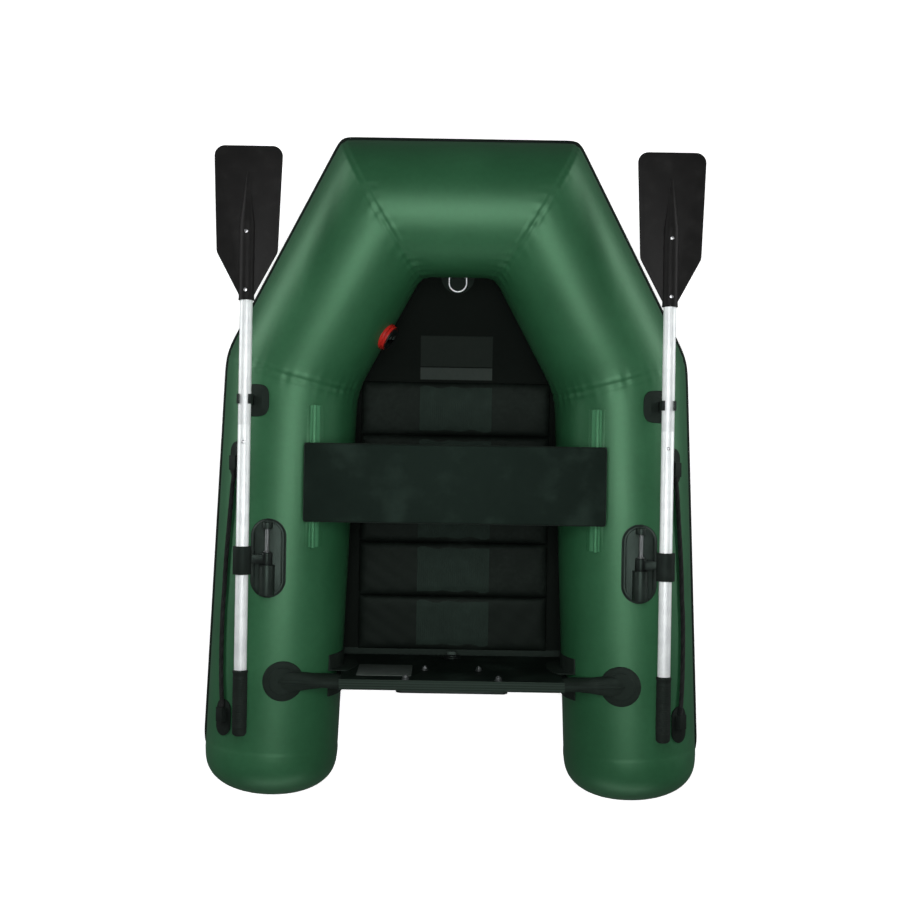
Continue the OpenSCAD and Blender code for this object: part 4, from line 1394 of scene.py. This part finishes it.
@dataclass
class HullSkin:
    """The welded skin of all five tubes and the two stern cones, as one piece."""
    shape: HullShape
    around: int = 180
    cap_length: float = 0.103
    cap_rings: int = 18
    tape: float = 0.0007
    tape_half: float = 0.016
    pucker: float = 0.0017

    def build(self) -> None:
        """Makes the skin and stands it for the CAD tubes."""
        columns, metres = [], []
        for i in range(self.around):
            column, uv = self.column(2 * math.pi * i / self.around)
            columns.append(column)
            metres.append(uv)
        rings = np.array(columns).transpose(1, 0, 2)
        uv = np.array(metres).transpose(1, 0, 2)
        ends = [self.pole(0), self.pole(-1)]
        rows = rings.shape[0]
        points = np.concatenate([rings.reshape(-1, 3), ends])
        faces = list(grid_faces(rows, self.around, wrap_cols=True))
        first, last, n = rows * self.around, rows * self.around + 1, (rows - 1) * self.around
        for j in range(self.around):
            k = (j + 1) % self.around
            faces += [(first, k, j), (last, n + j, n + k)]
        skin = mesh_object("hull_skin", points, faces, 60.0)
        lay_uv(skin, np.concatenate([uv.reshape(-1, 2), [[-0.2, 0.0], [4.0, 0.0]]]))
        settle(skin, HULL_GREEN, "hull", "hull_fabric", "side_tube_port", "side_tube_starboard",
               "shoulder_tube_port", "shoulder_tube_starboard", "bow_tube", "stern_caps")

    def pole(self, end: int) -> np.ndarray:
        """Tip of one stern cone."""
        way = -self.shape.ways[0] if end == 0 else self.shape.ways[-1]
        return np.array(self.shape.corners[end]) + way * self.cap_length

    def column(self, angle: float) -> tuple[np.ndarray, np.ndarray]:
        """One line along the skin, cone to cone, at an angle round the tube.

        Args:
            angle: 0 on the outer side, growing upwards.

        Returns:
            Points and their (along, round) metres.
        """
        r = self.shape.radius
        out, up = r * math.cos(angle), r * math.sin(angle)
        line, outward, along, near = self.shape.line(out, up)
        height = self.relief(angle, along, near)
        body = line + outward * height[:, None]
        front = self.cone(0, out, up)
        back = self.cone(-1, out, up)
        column = np.concatenate([front[::-1], body, back])
        reach = np.linspace(0.006, 0.18, self.cap_rings)
        metres = np.concatenate([-reach[::-1], along, along[-1] + reach])
        return column, np.stack([metres, np.full(len(metres), angle * r)], 1)

    def cone(self, end: int, out: float, up: float) -> np.ndarray:
        """Points down one stern cone, from its rim towards its tip.

        Args:
            end: 0 for the first end of the hull, -1 for the last.
            out: distance from the centreline away from the middle.
            up: distance from the centreline upwards.

        Returns:
            Points from rim to tip.
        """
        k = 0 if end == 0 else len(self.shape.ways) - 1
        way = -self.shape.ways[0] if end == 0 else self.shape.ways[-1]
        off = out * self.shape.across[k] + up * self.shape.upward[k]
        base = np.array(self.shape.corners[end])
        points = []
        for i in range(1, self.cap_rings + 1):
            a = math.pi / 2 * i / (self.cap_rings + 0.6)
            points.append(base + off * math.cos(a) ** 0.8
                          + way * self.cap_length * math.sin(a) ** 0.8)
        return np.array(points)

    def relief(self, angle: float, along: np.ndarray, near: np.ndarray) -> np.ndarray:
        """Height of seam tapes and puckers over the plain tube.

        Args:
            angle: angle round the tube.
            along: running length at each point.
            near: distance of each point from the nearest joint.

        Returns:
            The height at each point.
        """
        edge = (self.tape_half - np.abs(near)) / 0.004
        tape = self.tape * step(edge)
        inner = 0.5 - 0.5 * math.cos(angle)
        r = angle * self.shape.radius
        ripple = (0.55 * math.sin(r / 0.0042 + 1.7 * math.sin(r / 0.031))
                  + 0.30 * math.sin(r / 0.0071 + 0.8) + 0.15 * math.sin(r / 0.0026 + 2.0))
        lean = np.sin(near / 0.011 + r / 0.019)
        fade = np.exp(-(near / 0.026) ** 2)
        puckers = self.pucker * (0.35 + 0.75 * inner) * fade * (ripple * (0.8 + 0.4 * lean))
        dip = -0.0016 * np.exp(-(near / 0.005) ** 2)
        stern = self.tape * (step((0.018 - along) / 0.004)
                             + step((along - along[-1] + 0.018) / 0.004))
        return tape + puckers + dip + stern


@dataclass
class RubbingStrake:
    """Ribbed rubber guard round the outside of the hull."""
    shape: HullShape
    half: float = 0.014
    proud: float = 0.007

    def build(self) -> None:
        """Sweeps the ribbed outline along the hull."""
        r = self.shape.radius
        heights = np.linspace(-1, 1, 41)
        outline = []
        for v in heights:
            full = self.proud * (1 - abs(v) ** 5) ** 0.5
            rib = 0.0011 * max(0.0, math.cos(v * math.pi * 4.0)) * (abs(v) < 0.9)
            outline.append((math.sqrt(r * r - (v * self.half) ** 2) + full - rib, v * self.half))
        for v in heights[1:-1][::-4]:
            outline.append((math.sqrt(r * r - (v * self.half) ** 2) - 0.001, v * self.half))
        lines = [self.shape.line(o, u) for o, u in outline]
        root = self.shape.line(r - 0.001, 0.0)[0]
        rings = np.array([line[0] for line in lines]).transpose(1, 0, 2)
        along = lines[0][2]
        for i, t in enumerate(along):
            left = min(t, along[-1] - t)
            share = math.sqrt(max(0.02, 1 - (1 - min(1.0, left / 0.045)) ** 2))
            rings[i] = root[i] + (rings[i] - root[i]) * share
        strake = capped_tube("rubbing_strake_ribbed", rings, 50.0)
        settle(strake, RUBBER, "hull", "black_rubber", "rubbing_strake")


# ---------------------------------------------------------------- floor


@dataclass
class Floor:
    """Bottom fabric, the slatted mat on it, its strips and the blank panels."""
    flat_z: float = 0.0126
    fold_y: float = 0.248
    slope: float = math.radians(11.59)
    stern_y: float = -0.4775
    thickness: float = 0.0012
    pocket: tuple[float, float, float] = (0.132, 0.482, 0.011)
    pitch: float = 0.137
    count: int = 5
    first_y: float = -0.460
    bow_run: float = 0.352
    bow_taper: float = 0.548
    fold: float = 0.012
    tuck: float = 0.060
    strip_half: float = 0.092
    rib_pitch: float = 0.0053
    crown_power: int = 9
    rim: float = 0.0012
    weld: float = 0.0046

    def build(self) -> None:
        """Makes every piece of the floor."""
        self.sheet()
        rows = RowTree()
        self.mat(rows)
        self.strips(rows)
        self.panels()

    def level(self, run: float, lift: float = 0.0) -> tuple[float, float]:
        """(Y, Z) at a distance along the floor from its stern edge, lifted off it.

        Args:
            run: distance from the floor's stern edge.
            lift: height over the floor.

        Returns:
            The pair (Y, Z).
        """
        bend = (run - (self.fold_y - self.stern_y)) / self.fold
        share = float(rise(np.array(bend)))
        past = self.fold * (bend * share + float(bell(np.array(bend))))
        y = (self.stern_y + run - past * (1 - math.cos(self.slope))
             - lift * share * math.sin(self.slope))
        z = self.flat_z + past * math.sin(self.slope) + lift
        return y, z

    def half_width(self, run: float) -> float:
        """Half the floor's width at a distance from its stern edge.

        Args:
            run: distance from the floor's stern edge.

        Returns:
            The half width in metres.
        """
        flat = self.fold_y - self.stern_y
        y = self.stern_y + min(run, flat)
        half = side_middle(y) - self.tuck
        if run > flat:
            half -= (run - flat) * self.bow_taper
        return half

    def sheet(self) -> None:
        """Bottom fabric, stretched between the tubes."""
        whole = self.fold_y - self.stern_y + self.bow_run
        runs = np.concatenate([np.linspace(0, 0.66, 56, endpoint=False),
                               np.linspace(0.66, 0.80, 36, endpoint=False),
                               np.linspace(0.80, whole, 40)])
        across = np.linspace(-1, 1, 81)
        points, area = [], 0.0
        for run in runs:
            half, (y, z) = self.half_width(run), self.level(run)
            for s in across:
                wave = (0.0010 * math.sin(run * 31 + 2.2 * math.sin(s * 5))
                        * math.cos(s * 9 + run * 6))
                points.append((s * half, y, z - 0.0006 + wave * (1 - s * s) - 0.0004))
        for a, b in zip(runs, runs[1:]):
            area += (b - a) * (self.half_width(a) + self.half_width(b))
        sheet = mesh_object("floor_fabric", np.array(points), grid_faces(len(runs), len(across)),
                            60.0, outward=False)
        if sheet.data.polygons[0].normal.z < 0:
            sheet.data.flip_normals()
        solid = sheet.modifiers.new("thickness", "SOLIDIFY")
        solid.thickness, solid.offset = self.thickness, -1.0
        applied(sheet, 60.0)
        settle(sheet, FLOOR_BLACK, "hull", "floor_fabric", "floor_sheet")

    def pocket_mesh(self, width: float, length: float, height: float,
                    edge: float) -> bpy.types.Mesh:
        """One crowned pocket with welded edges, in its place at the stern end of the row.

        Args:
            width: its size along the boat.
            length: its size across the boat.
            height: height of the crown.
            edge: height of the welded rim.

        Returns:
            The pocket's mesh.
        """
        cols, rows = 61, 33
        top, under = [], []
        for j in range(rows):
            for i in range(cols):
                s = math.sin((i / (cols - 1) - 0.5) * math.pi)
                t = math.sin((j / (rows - 1) - 0.5) * math.pi)
                crown = (1 - abs(s) ** 26) ** 0.5 * (1 - abs(t) ** self.crown_power) ** 0.5
                ripple = 0.0005 * math.sin(s * 23 + 3 * t) * math.sin(t * 7 + 2 * s) * crown
                top.append((s * length / 2, t * width / 2, edge + (height - edge) * crown + ripple))
                under.append((s * length / 2, t * width / 2, 0.0))
        return taken_mesh(closed_sheet("pocket", top, under, rows, cols, 60.0),
                          0, self.first_y + self.pocket[0] / 2, self.flat_z)

    def mat(self, rows: RowTree) -> None:
        """Slat pockets in a row; the slats inside them don't show.

        Args:
            rows: the tree that repeats a part.
        """
        width, length, height = self.pocket
        mesh = self.pocket_mesh(width + self.weld, length, height, self.rim)
        mat = rows.run("slat_mat_pockets", mesh, Count=self.count, Step=(0.0, self.pitch, 0.0),
                       Material=MAT_BLACK.material())
        settle(mat, MAT_BLACK, "hull", "floor_fabric", "slat_mat", "floor_slats")

    def strips(self, rows: RowTree) -> None:
        """Ribbed anti-slip strip on each pocket.

        Args:
            rows: the tree that repeats a part.
        """
        width, full = self.pocket[0] - 0.014, self.pocket[2]
        xs = np.linspace(-self.strip_half, self.strip_half, 139)
        ys = np.linspace(-width / 2, width / 2, 13)
        top = []
        for y in ys:
            s = y / (self.pocket[0] / 2)
            bent = (1 - abs(s) ** self.crown_power) ** 0.5
            crown = self.flat_z + self.rim + (full - self.rim) * bent
            edge = 0.0 if abs(y) > width / 2 - 1e-6 else 1.0
            top += [(x, y, crown + 0.0003 + edge * (0.0005 + 0.00045 * (0.5 + 0.5 * math.cos(
                x / self.rib_pitch * 2 * math.pi)))) for x in xs]
        under = [(x, y, z - 0.0012) for x, y, z in top]
        mesh = taken_mesh(closed_sheet("strip", top, under, len(ys), len(xs), 50.0),
                          0, self.first_y + self.pocket[0] / 2, 0)
        strip = rows.run("anti_slip_strips", mesh, Count=self.count, Step=(0.0, self.pitch, 0.0),
                         Material=STRIP_GREY.material())
        settle(strip, STRIP_GREY, "hull", "grip_rubber", "mat_strip")

    def panels(self) -> None:
        """Two blank panels on the floor ahead of the mat."""
        made = []
        for name, start, end, finish in (("blank_panel_front", 0.7405, 0.8190, PANEL_GREY),
                                         ("blank_panel_rear", 0.7065, 0.7375, PANEL_PALE)):
            runs = np.linspace(start, end, 22)
            xs = np.linspace(-self.strip_half, self.strip_half, 41)
            top, under = ([(x, *self.level(run, lift)) for run in runs for x in xs]
                          for lift in (0.0014, -0.0002))
            panel = closed_sheet(name, top, under, len(runs), len(xs), 40.0)
            panel.data.materials.append(finish.material())
            made.append(panel)
        settle(joined("blank_panels", made), PANEL_GREY, "hull", "floor_fabric", "info_patch")


# ---------------------------------------------------------------- transom


@dataclass
class Transom:
    """Rear board with its plate, bolts, bonds, ears, drain and label."""
    foot: Point = (0.0, -0.477, 0.012)
    rake: float = math.radians(1.5)
    bolt_spots: tuple[tuple[float, float], ...] = (
        (-0.108, 0.318), (0.108, 0.318), (-0.065, 0.202), (0.065, 0.202))

    def place(self, x: float, z: float, aft: float) -> Point:
        """Point at x and a height on the board, a distance behind its inner face."""
        s, c = math.sin(self.rake), math.cos(self.rake)
        return (x, self.foot[1] - aft * c - z * s, self.foot[2] + z * c - aft * s)

    def build(self, scatter: ScatterTree) -> None:
        """Makes every piece of the transom.

        Args:
            scatter: the tree that repeats a part on points.
        """
        board = refined("transom_board", "transom_panel", 0.0030, 4)
        settle(board, TRANSOM_BOARD, "hull", "coated_plywood", "transom_board")
        plate = rounded_slab("motor_plate", rounded_outline(
            [(-0.130, 0.182), (0.130, 0.182), (0.130, 0.332), (-0.130, 0.332)], 0.014),
            0.0240, 0.0300, 0.0012, self.place)
        ribs = [rounded_slab(f"plate_rib_{i}", rounded_outline(
            [(-0.112, z), (0.112, z), (0.112, z + 0.004), (-0.112, z + 0.004)], 0.0015, 3),
            0.0296, 0.0308, 0.0004, self.place, 2)
            for i, z in enumerate(np.linspace(0.222, 0.296, 9))]
        settle(joined("motor_plate_ribbed", [plate, *ribs]), PLASTIC, "hull", "black_plastic",
               "transom_outer_plate")
        self.bolts(scatter)
        bonds = [refined("transom_bonds", "bonds", 0.0010), self.foot_tape()]
        bonds += [self.skirt(side) for side in Side]
        settle(joined("transom_bonds_rounded", bonds), PATCH_RUBBER, "hull", "black_rubber",
               "transom_bonds")
        self.ears()
        self.drain()
        label = rounded_slab("blank_label", rounded_outline(
            [(-0.226, 0.150), (-0.096, 0.150), (-0.096, 0.284), (-0.226, 0.284)], 0.006),
            -0.0012, 0.0, 0.0003, self.place, 2)
        settle(label, GREY, "hull", "grey_plastic", "rating_plate")

    def skirt(self, side: Side) -> bpy.types.Object:
        """Rubber web that closes the wedge between the board's edge and a tube.

        Args:
            side: which end of the board.

        Returns:
            The closed web.
        """
        rings, inner, front, back = [], 0.200, 0.0105, 0.0125
        for z in np.linspace(0.0008, 0.263, 44):
            _, y, height = self.place(0.0, z, 0.0)
            reach = side_middle(y) - math.sqrt(TUBE_R ** 2 - (height - TUBE_R) ** 2) + 0.002
            rings.append([self.place(side.value * x, z, aft) for x, aft in (
                (inner, front), (reach, front), (reach, back), (inner, back))])
        return capped_tube(f"skirt_{side.tag}", np.array(rings), 30.0)

    def foot_tape(self) -> bpy.types.Object:
        """Sealing tape that carries the floor's stern edge under the board.

        Returns:
            The closed tape.
        """
        half, width = 0.362, 0.036
        return rounded_slab("foot_tape", [(-half, 0.0), (half, 0.0), (half, width), (-half, width)],
                            0.0, 0.0014, 0.0004,
                            lambda x, back, h: (x, -0.4610 - back, 0.0132 + h), 2)

    def bolts(self, scatter: ScatterTree) -> None:
        """Countersunk bolts with washers and nuts, repeated on their four spots.

        Args:
            scatter: the tree that repeats a part on points.
        """
        aft = (0.0, -math.cos(self.rake), -math.sin(self.rake))
        shank = lathe("shank", [
            (0, -0.0110), (0.0030, -0.0110), (0.0038, -0.0102), (0.0038, 0.0255), (0.0074, 0.0298),
            (0.0074, 0.0301), (0.0040, 0.0301), (0.0034, 0.0288), (0, 0.0288)], (0, 0, 0), aft, 24)
        washer = lathe("washer", [(0, -0.0015), (0.0084, -0.0015), (0.0088, -0.0012),
                                  (0.0088, 0.0), (0, 0.0)], (0, 0, 0), aft, 28)
        nut = bevelled(lathe("nut", [
            (0, -0.0080), (0.0066, -0.0080), (0.0072, -0.0074), (0.0072, -0.0015),
            (0, -0.0015)], (0, 0, 0), aft, 6, 20), 0.0003)
        spots = [self.place(x, z, 0.0) for x, z in self.bolt_spots]
        turns = [(0.0, 0.35 * i, 0.0) for i in range(len(spots))]
        bolts = scatter.place("transom_bolts_turned", joined("bolt", [shank, washer, nut]), spots,
                              turns, BOLT_STEEL.material())
        settle(bolts, BOLT_STEEL, "hull", "steel", "transom_bolts")

    def ears(self) -> None:
        """Round patches on the tubes with the webs that taper down to the board."""
        y = -0.4977
        made = []
        for side in Side:
            pad = TubePatch(0.395, y, 0.047, 0.047).solid("pad", [
                (0.03, 0.0072), (0.55, 0.0070), (0.66, 0.0066), (0.70, 0.0048), (0.93, 0.0042),
                (0.98, 0.0030), (1.0, 0.0012)])
            web = loft("web", eased_sections([
                (0.2580, y, 0.0140, 0.2900, 0.3405), (0.2720, y, 0.0150, 0.2650, 0.3400),
                (0.2980, y, 0.0150, 0.2550, 0.3370), (0.3250, y, 0.0175, 0.2750, 0.3330),
                (0.3520, y, 0.0215, 0.2900, 0.3290), (0.3760, y, 0.0235, 0.3000, 0.3265),
                (0.3980, y, 0.0200, 0.3060, 0.3245), (0.4100, y, 0.0120, 0.3080, 0.3220)], 40))
            spine = loft("spine", eased_sections([
                (0.2600, y, 0.0075, 0.3300, 0.3420), (0.3000, y, 0.0062, 0.3250, 0.3398),
                (0.3500, y, 0.0050, 0.3200, 0.3322), (0.3950, y, 0.0042, 0.3150, 0.3276),
                (0.4060, y, 0.0030, 0.3150, 0.3240)], 30), 24, 3.2)
            made += [mirrored(part, side) for part in (pad, web, spine)]
        settle(joined("transom_ears_moulded", made), PATCH_RUBBER, "hull", "black_rubber",
               "transom_ears")

    def drain(self) -> None:
        """Drain body through the board and its plug."""
        carry("drain_body", "drain_fitting", PLASTIC, "hull", "black_plastic", 0.0006)
        carry("drain_plug", "drain_plug_turned", PLASTIC, "drain_plug", "black_plastic", 0.0008)


# ---------------------------------------------------------------- bench


@dataclass
class Bench:
    """Sliding seat board on its two bead rails."""
    y: float = -0.031
    bottom: float = 0.3235
    thick: float = 0.022
    width: float = 0.7026
    depth: float = 0.184

    def build(self) -> None:
        """Makes the board, its channels, screws and the rails."""
        h, d = self.width / 2, self.depth / 2
        board = rounded_slab("bench_board", rounded_outline(
            [(-h, self.y - d), (h, self.y - d), (h, self.y + d), (-h, self.y + d)], 0.008, 10),
            self.bottom, self.bottom + self.thick, 0.0045, lambda x, y, z: (x, y, z), 5)
        settle(board, BOARD, "seat", "coated_plywood", "seat_board")
        carry("seat_channels", "bench_channels", PLASTIC, "seat", "black_plastic", 0.0005)
        carry("seat_screws", "bench_screws", STEEL, "seat", "steel", 0.0003)
        self.rails()

    def rails(self) -> None:
        """Bead rails: a wide glued foot, a paler welded tape and the bead."""
        x0, low, high = 0.3303, -0.185, 0.149
        parts = [split_finish(refined("seat_rails", "rail_cores", 0.0003), HULL_PLAIN, TAPE_GREEN,
                              lambda c: abs(abs(c.x) - x0) < 0.0055)]
        rise_at = [(-0.0112, -0.0008), (-0.0112, 0.0014), (-0.0104, 0.0023), (-0.006, 0.0026),
                   (0.0, 0.0027), (0.006, 0.0026), (0.0104, 0.0023), (0.0112, 0.0014),
                   (0.0112, -0.0008)]
        for side in Side:
            rings = []
            for y in np.linspace(low + 0.001, high - 0.001, 40):
                off = x0 - side_middle(y)
                rings.append([(x0 + dx, y, TUBE_R + math.sqrt((TUBE_R + h) ** 2 - (off + dx) ** 2))
                              for dx, h in rise_at])
            tape = mirrored(capped_tube("rail_tape", np.array(rings), 40.0), side)
            tape.data.materials.append(TAPE_GREEN.material())
            parts.append(tape)
        settle(joined("bench_rails", parts), TAPE_GREEN, "hull", "hull_fabric", "seat_rails")


# ---------------------------------------------------------------- bow fittings


@dataclass
class BowFittings:
    """Tow ring, its patch and the two inflation valves."""
    valves: dict[Side, tuple[Point, Point]] = field(default_factory=lambda: {
        Side.PORT: ((-0.17128, 0.32059, 0.22349), (0.84324, -0.50625, 0.18070)),
        Side.STARBOARD: ((0.25134, -0.04656, 0.160), (-0.99916, -0.04100, 0.0))})

    def build(self) -> None:
        """Makes the ring, the patch and the valves."""
        carry("ring_patch", "ring_patch_rounded", PATCH_RUBBER, "hull", "black_rubber", 0.0006)
        ring = refined("tow_ring", "tow_ring_smooth", 0.0001, 1)
        smooth(ring, 80.0)
        settle(ring, STEEL, "tow_ring", "steel", "tow_ring")
        for side in Side:
            tag = side.tag
            carry(f"valve_body_{tag}", f"valve_seat_{tag}", RED, "hull", "red_plastic", 0.0006)
            at, axis = (Vector(v) for v in self.valves[side])
            lid = refined(f"valve_cap_{tag}", f"valve_lid_{tag}", 0.0009)
            split_finish(lid, PLASTIC, RED,
                         lambda c: (c - at).cross(axis.normalized()).length > 0.0262)
            settle(lid, PLASTIC, f"valve_cap_{tag}", "red_plastic", f"valve_cap_{tag}")
            carry(f"valve_poppet_{tag}", f"valve_stem_{tag}", PLASTIC, f"valve_poppet_{tag}",
                  "black_plastic", 0.0004)


# ---------------------------------------------------------------- rowing gear


@dataclass
class Rowlock:
    """Rowlock on one side: moulded base, axle and saddle with its pin."""
    side: Side

    def build(self) -> None:
        """Makes the three parts."""
        tag = self.side.tag
        lip = TubePatch(0.43318, -0.210, 0.042, 0.0925).band("lip", [
            (0.74, 0.0030), (0.76, 0.0056), (0.80, 0.0070), (0.86, 0.0072), (0.92, 0.0062),
            (0.965, 0.0042), (1.0, 0.0020), (1.0, -0.0010), (0.74, -0.0010)])
        base = joined(f"rowlock_mount_{tag}", [
            refined(f"rowlock_base_{tag}", "mount", 0.0012, 3), mirrored(lip, self.side)])
        settle(base, LOCK_RUBBER, "hull", "black_rubber", f"rowlock_base_{tag}")
        carry(f"rowlock_axle_{tag}", f"rowlock_rod_{tag}", AXLE_STEEL, "hull", "steel", 0.0008)
        carry(f"rowlock_saddle_{tag}", f"rowlock_arm_{tag}", PLASTIC, f"rowlock_{tag}",
              "black_plastic", 0.0014, 3)


@dataclass
class Oar:
    """One oar: grip, two tubes, collar, button, blade and screws."""
    side: Side
    at: Point = (0.48318, -0.210, 0.388)
    shaft_r: float = 0.0145
    blade_from: float = 0.593
    blade_to: float = 0.946
    blade_half: float = 0.079
    blade_t: float = 0.005
    socket_r: float = 0.01755
    grip_from: float = -0.401
    grip_to: float = -0.250

    def build(self) -> None:
        """Makes every part of the oar."""
        tag = self.side.tag
        body = f"oar_{tag}"
        carry(f"oar_collar_{tag}", f"oar_stop_{tag}", RUBBER, body, "black_rubber", 0.0015, 3)
        for part in ("inner", "outer"):
            carry(f"oar_{part}_shaft_{tag}", f"oar_{part}_tube_{tag}", ALUMINIUM, body,
                  "aluminium_tube", 0.0003)
        carry(f"oar_button_{tag}", f"oar_catch_{tag}", STEEL, f"button_{tag}", "steel", 0.0005)
        carry(f"oar_screws_{tag}", f"oar_rivets_{tag}", STEEL, body, "steel", 0.0005)
        self.grip(body)
        self.blade(body)

    def grip(self, body: str) -> None:
        """Grip with rounded end and a run of shallow ribs.

        Args:
            body: the CAD body it rides on.
        """
        x, y, z = self.at
        r, inner = self.shaft_r + 0.002, self.shaft_r + 0.00005
        profile = [(0.0, 0.0)]
        profile += [(r - 0.009 + 0.009 * math.sin(a), 0.009 - 0.009 * math.cos(a))
                    for a in np.linspace(0, math.pi / 2, 9)]
        length = self.grip_to - self.grip_from
        for k in range(22):
            h = 0.020 + k * 0.0052
            profile += [(r, h), (r + 0.0004, h + 0.0009), (r + 0.0004, h + 0.0024), (r, h + 0.0033)]
        profile += [(r, length - 0.008), (r + 0.0012, length - 0.006), (r + 0.0012, length - 0.002),
                    (r - 0.0002, length), (inner, length), (inner, 0.006), (0.0, 0.006)]
        grip = lathe(f"oar_handle_{self.side.tag}", profile, (x, y + self.grip_from, z),
                     (0, 1, 0), 64)
        settle(mirrored(grip, self.side), GRIP_RUBBER, body, "grip_rubber",
               f"oar_grip_{self.side.tag}")

    def blade(self, body: str) -> None:
        """Blade with a rounded rim, a stiffening ridge and a tapering socket.

        Args:
            body: the CAD body it rides on.
        """
        x0, y0, z0 = self.at
        tip, shoulder = self.blade_to, self.blade_from + 0.110
        half = self.blade_half
        neck, root = self.socket_r - 0.001, self.blade_from + 0.010
        outline = rounded_outline([
            (-neck, root), (neck, root), (half - 0.009, shoulder), (half, tip), (-half, tip),
            (0.009 - half, shoulder)],
            [0.002, 0.002, 0.030, 0.024, 0.024, 0.030], 10)
        plate = rounded_slab("blade_plate", outline, -self.blade_t / 2, self.blade_t / 2, 0.0022,
                             lambda x, y, h: (x0 + x, y0 + y, z0 + h))
        rings, around, straight, end = [], 40, 0.177, tip - 0.060
        for v in np.linspace(self.blade_from, end, 60):
            run = v - self.blade_from
            past = max(0.0, run - straight) / (end - self.blade_from - straight)
            r = self.socket_r + (0.0032 - self.socket_r) * past ** 0.9
            swell = 0.0008 * math.exp(-(run / 0.004) ** 2)
            rings.append([(x0 + (r + swell) * math.cos(a), y0 + v, z0 + (r + swell) * math.sin(a))
                          for a in turns(around)])
        spine = capped_tube("blade_spine", np.array(rings), 40.0)
        whole = joined(f"oar_paddle_{self.side.tag}", [plate, spine])
        settle(mirrored(whole, self.side), BLADE_BLACK, body, "black_plastic",
               f"oar_blade_{self.side.tag}")


@dataclass
class TubeFittings:
    """Clip pads and clips, and the holders of the grab lines."""

    def build(self) -> None:
        """Makes the moulded parts on the side tubes."""
        pads = [mirrored(TubePatch(0.47518, 0.158, 0.038, 0.038, 3.4).solid("pad", [
            (0.03, 0.0052), (0.50, 0.0050), (0.58, 0.0046), (0.62, 0.0036), (0.92, 0.0032),
            (0.975, 0.0024), (1.0, 0.0010)]), side) for side in Side]
        settle(joined("clip_pads_moulded", pads), PATCH_RUBBER, "hull", "black_rubber", "clip_pads")
        for side in Side:
            carry(f"oar_clip_{side.tag}", f"oar_holder_{side.tag}", PLASTIC, "hull",
                  "black_plastic", 0.0010, 3)
        carry("line_holders", "line_holders_rounded", RUBBER, "hull", "black_rubber", 0.0014, 3)
        carry("chamber_baffle", "chamber_wall", HULL_GREEN, "hull", "hull_fabric", 0.0001, 1)


def main() -> None:
    """Builds the boat piece by piece."""
    logging.basicConfig(level=logging.INFO, format="%(name)s: %(message)s")
    Studio().build()
    GrabLines().build()
    shape = HullShape()
    HullSkin(shape).build()
    RubbingStrake(shape).build()
    Floor().build()
    Transom().build(ScatterTree())
    Bench().build()
    BowFittings().build()
    for side in Side:
        Rowlock(side).build()
        Oar(side).build()
    TubeFittings().build()
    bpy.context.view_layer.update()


if __name__ == "__main__":
    main()
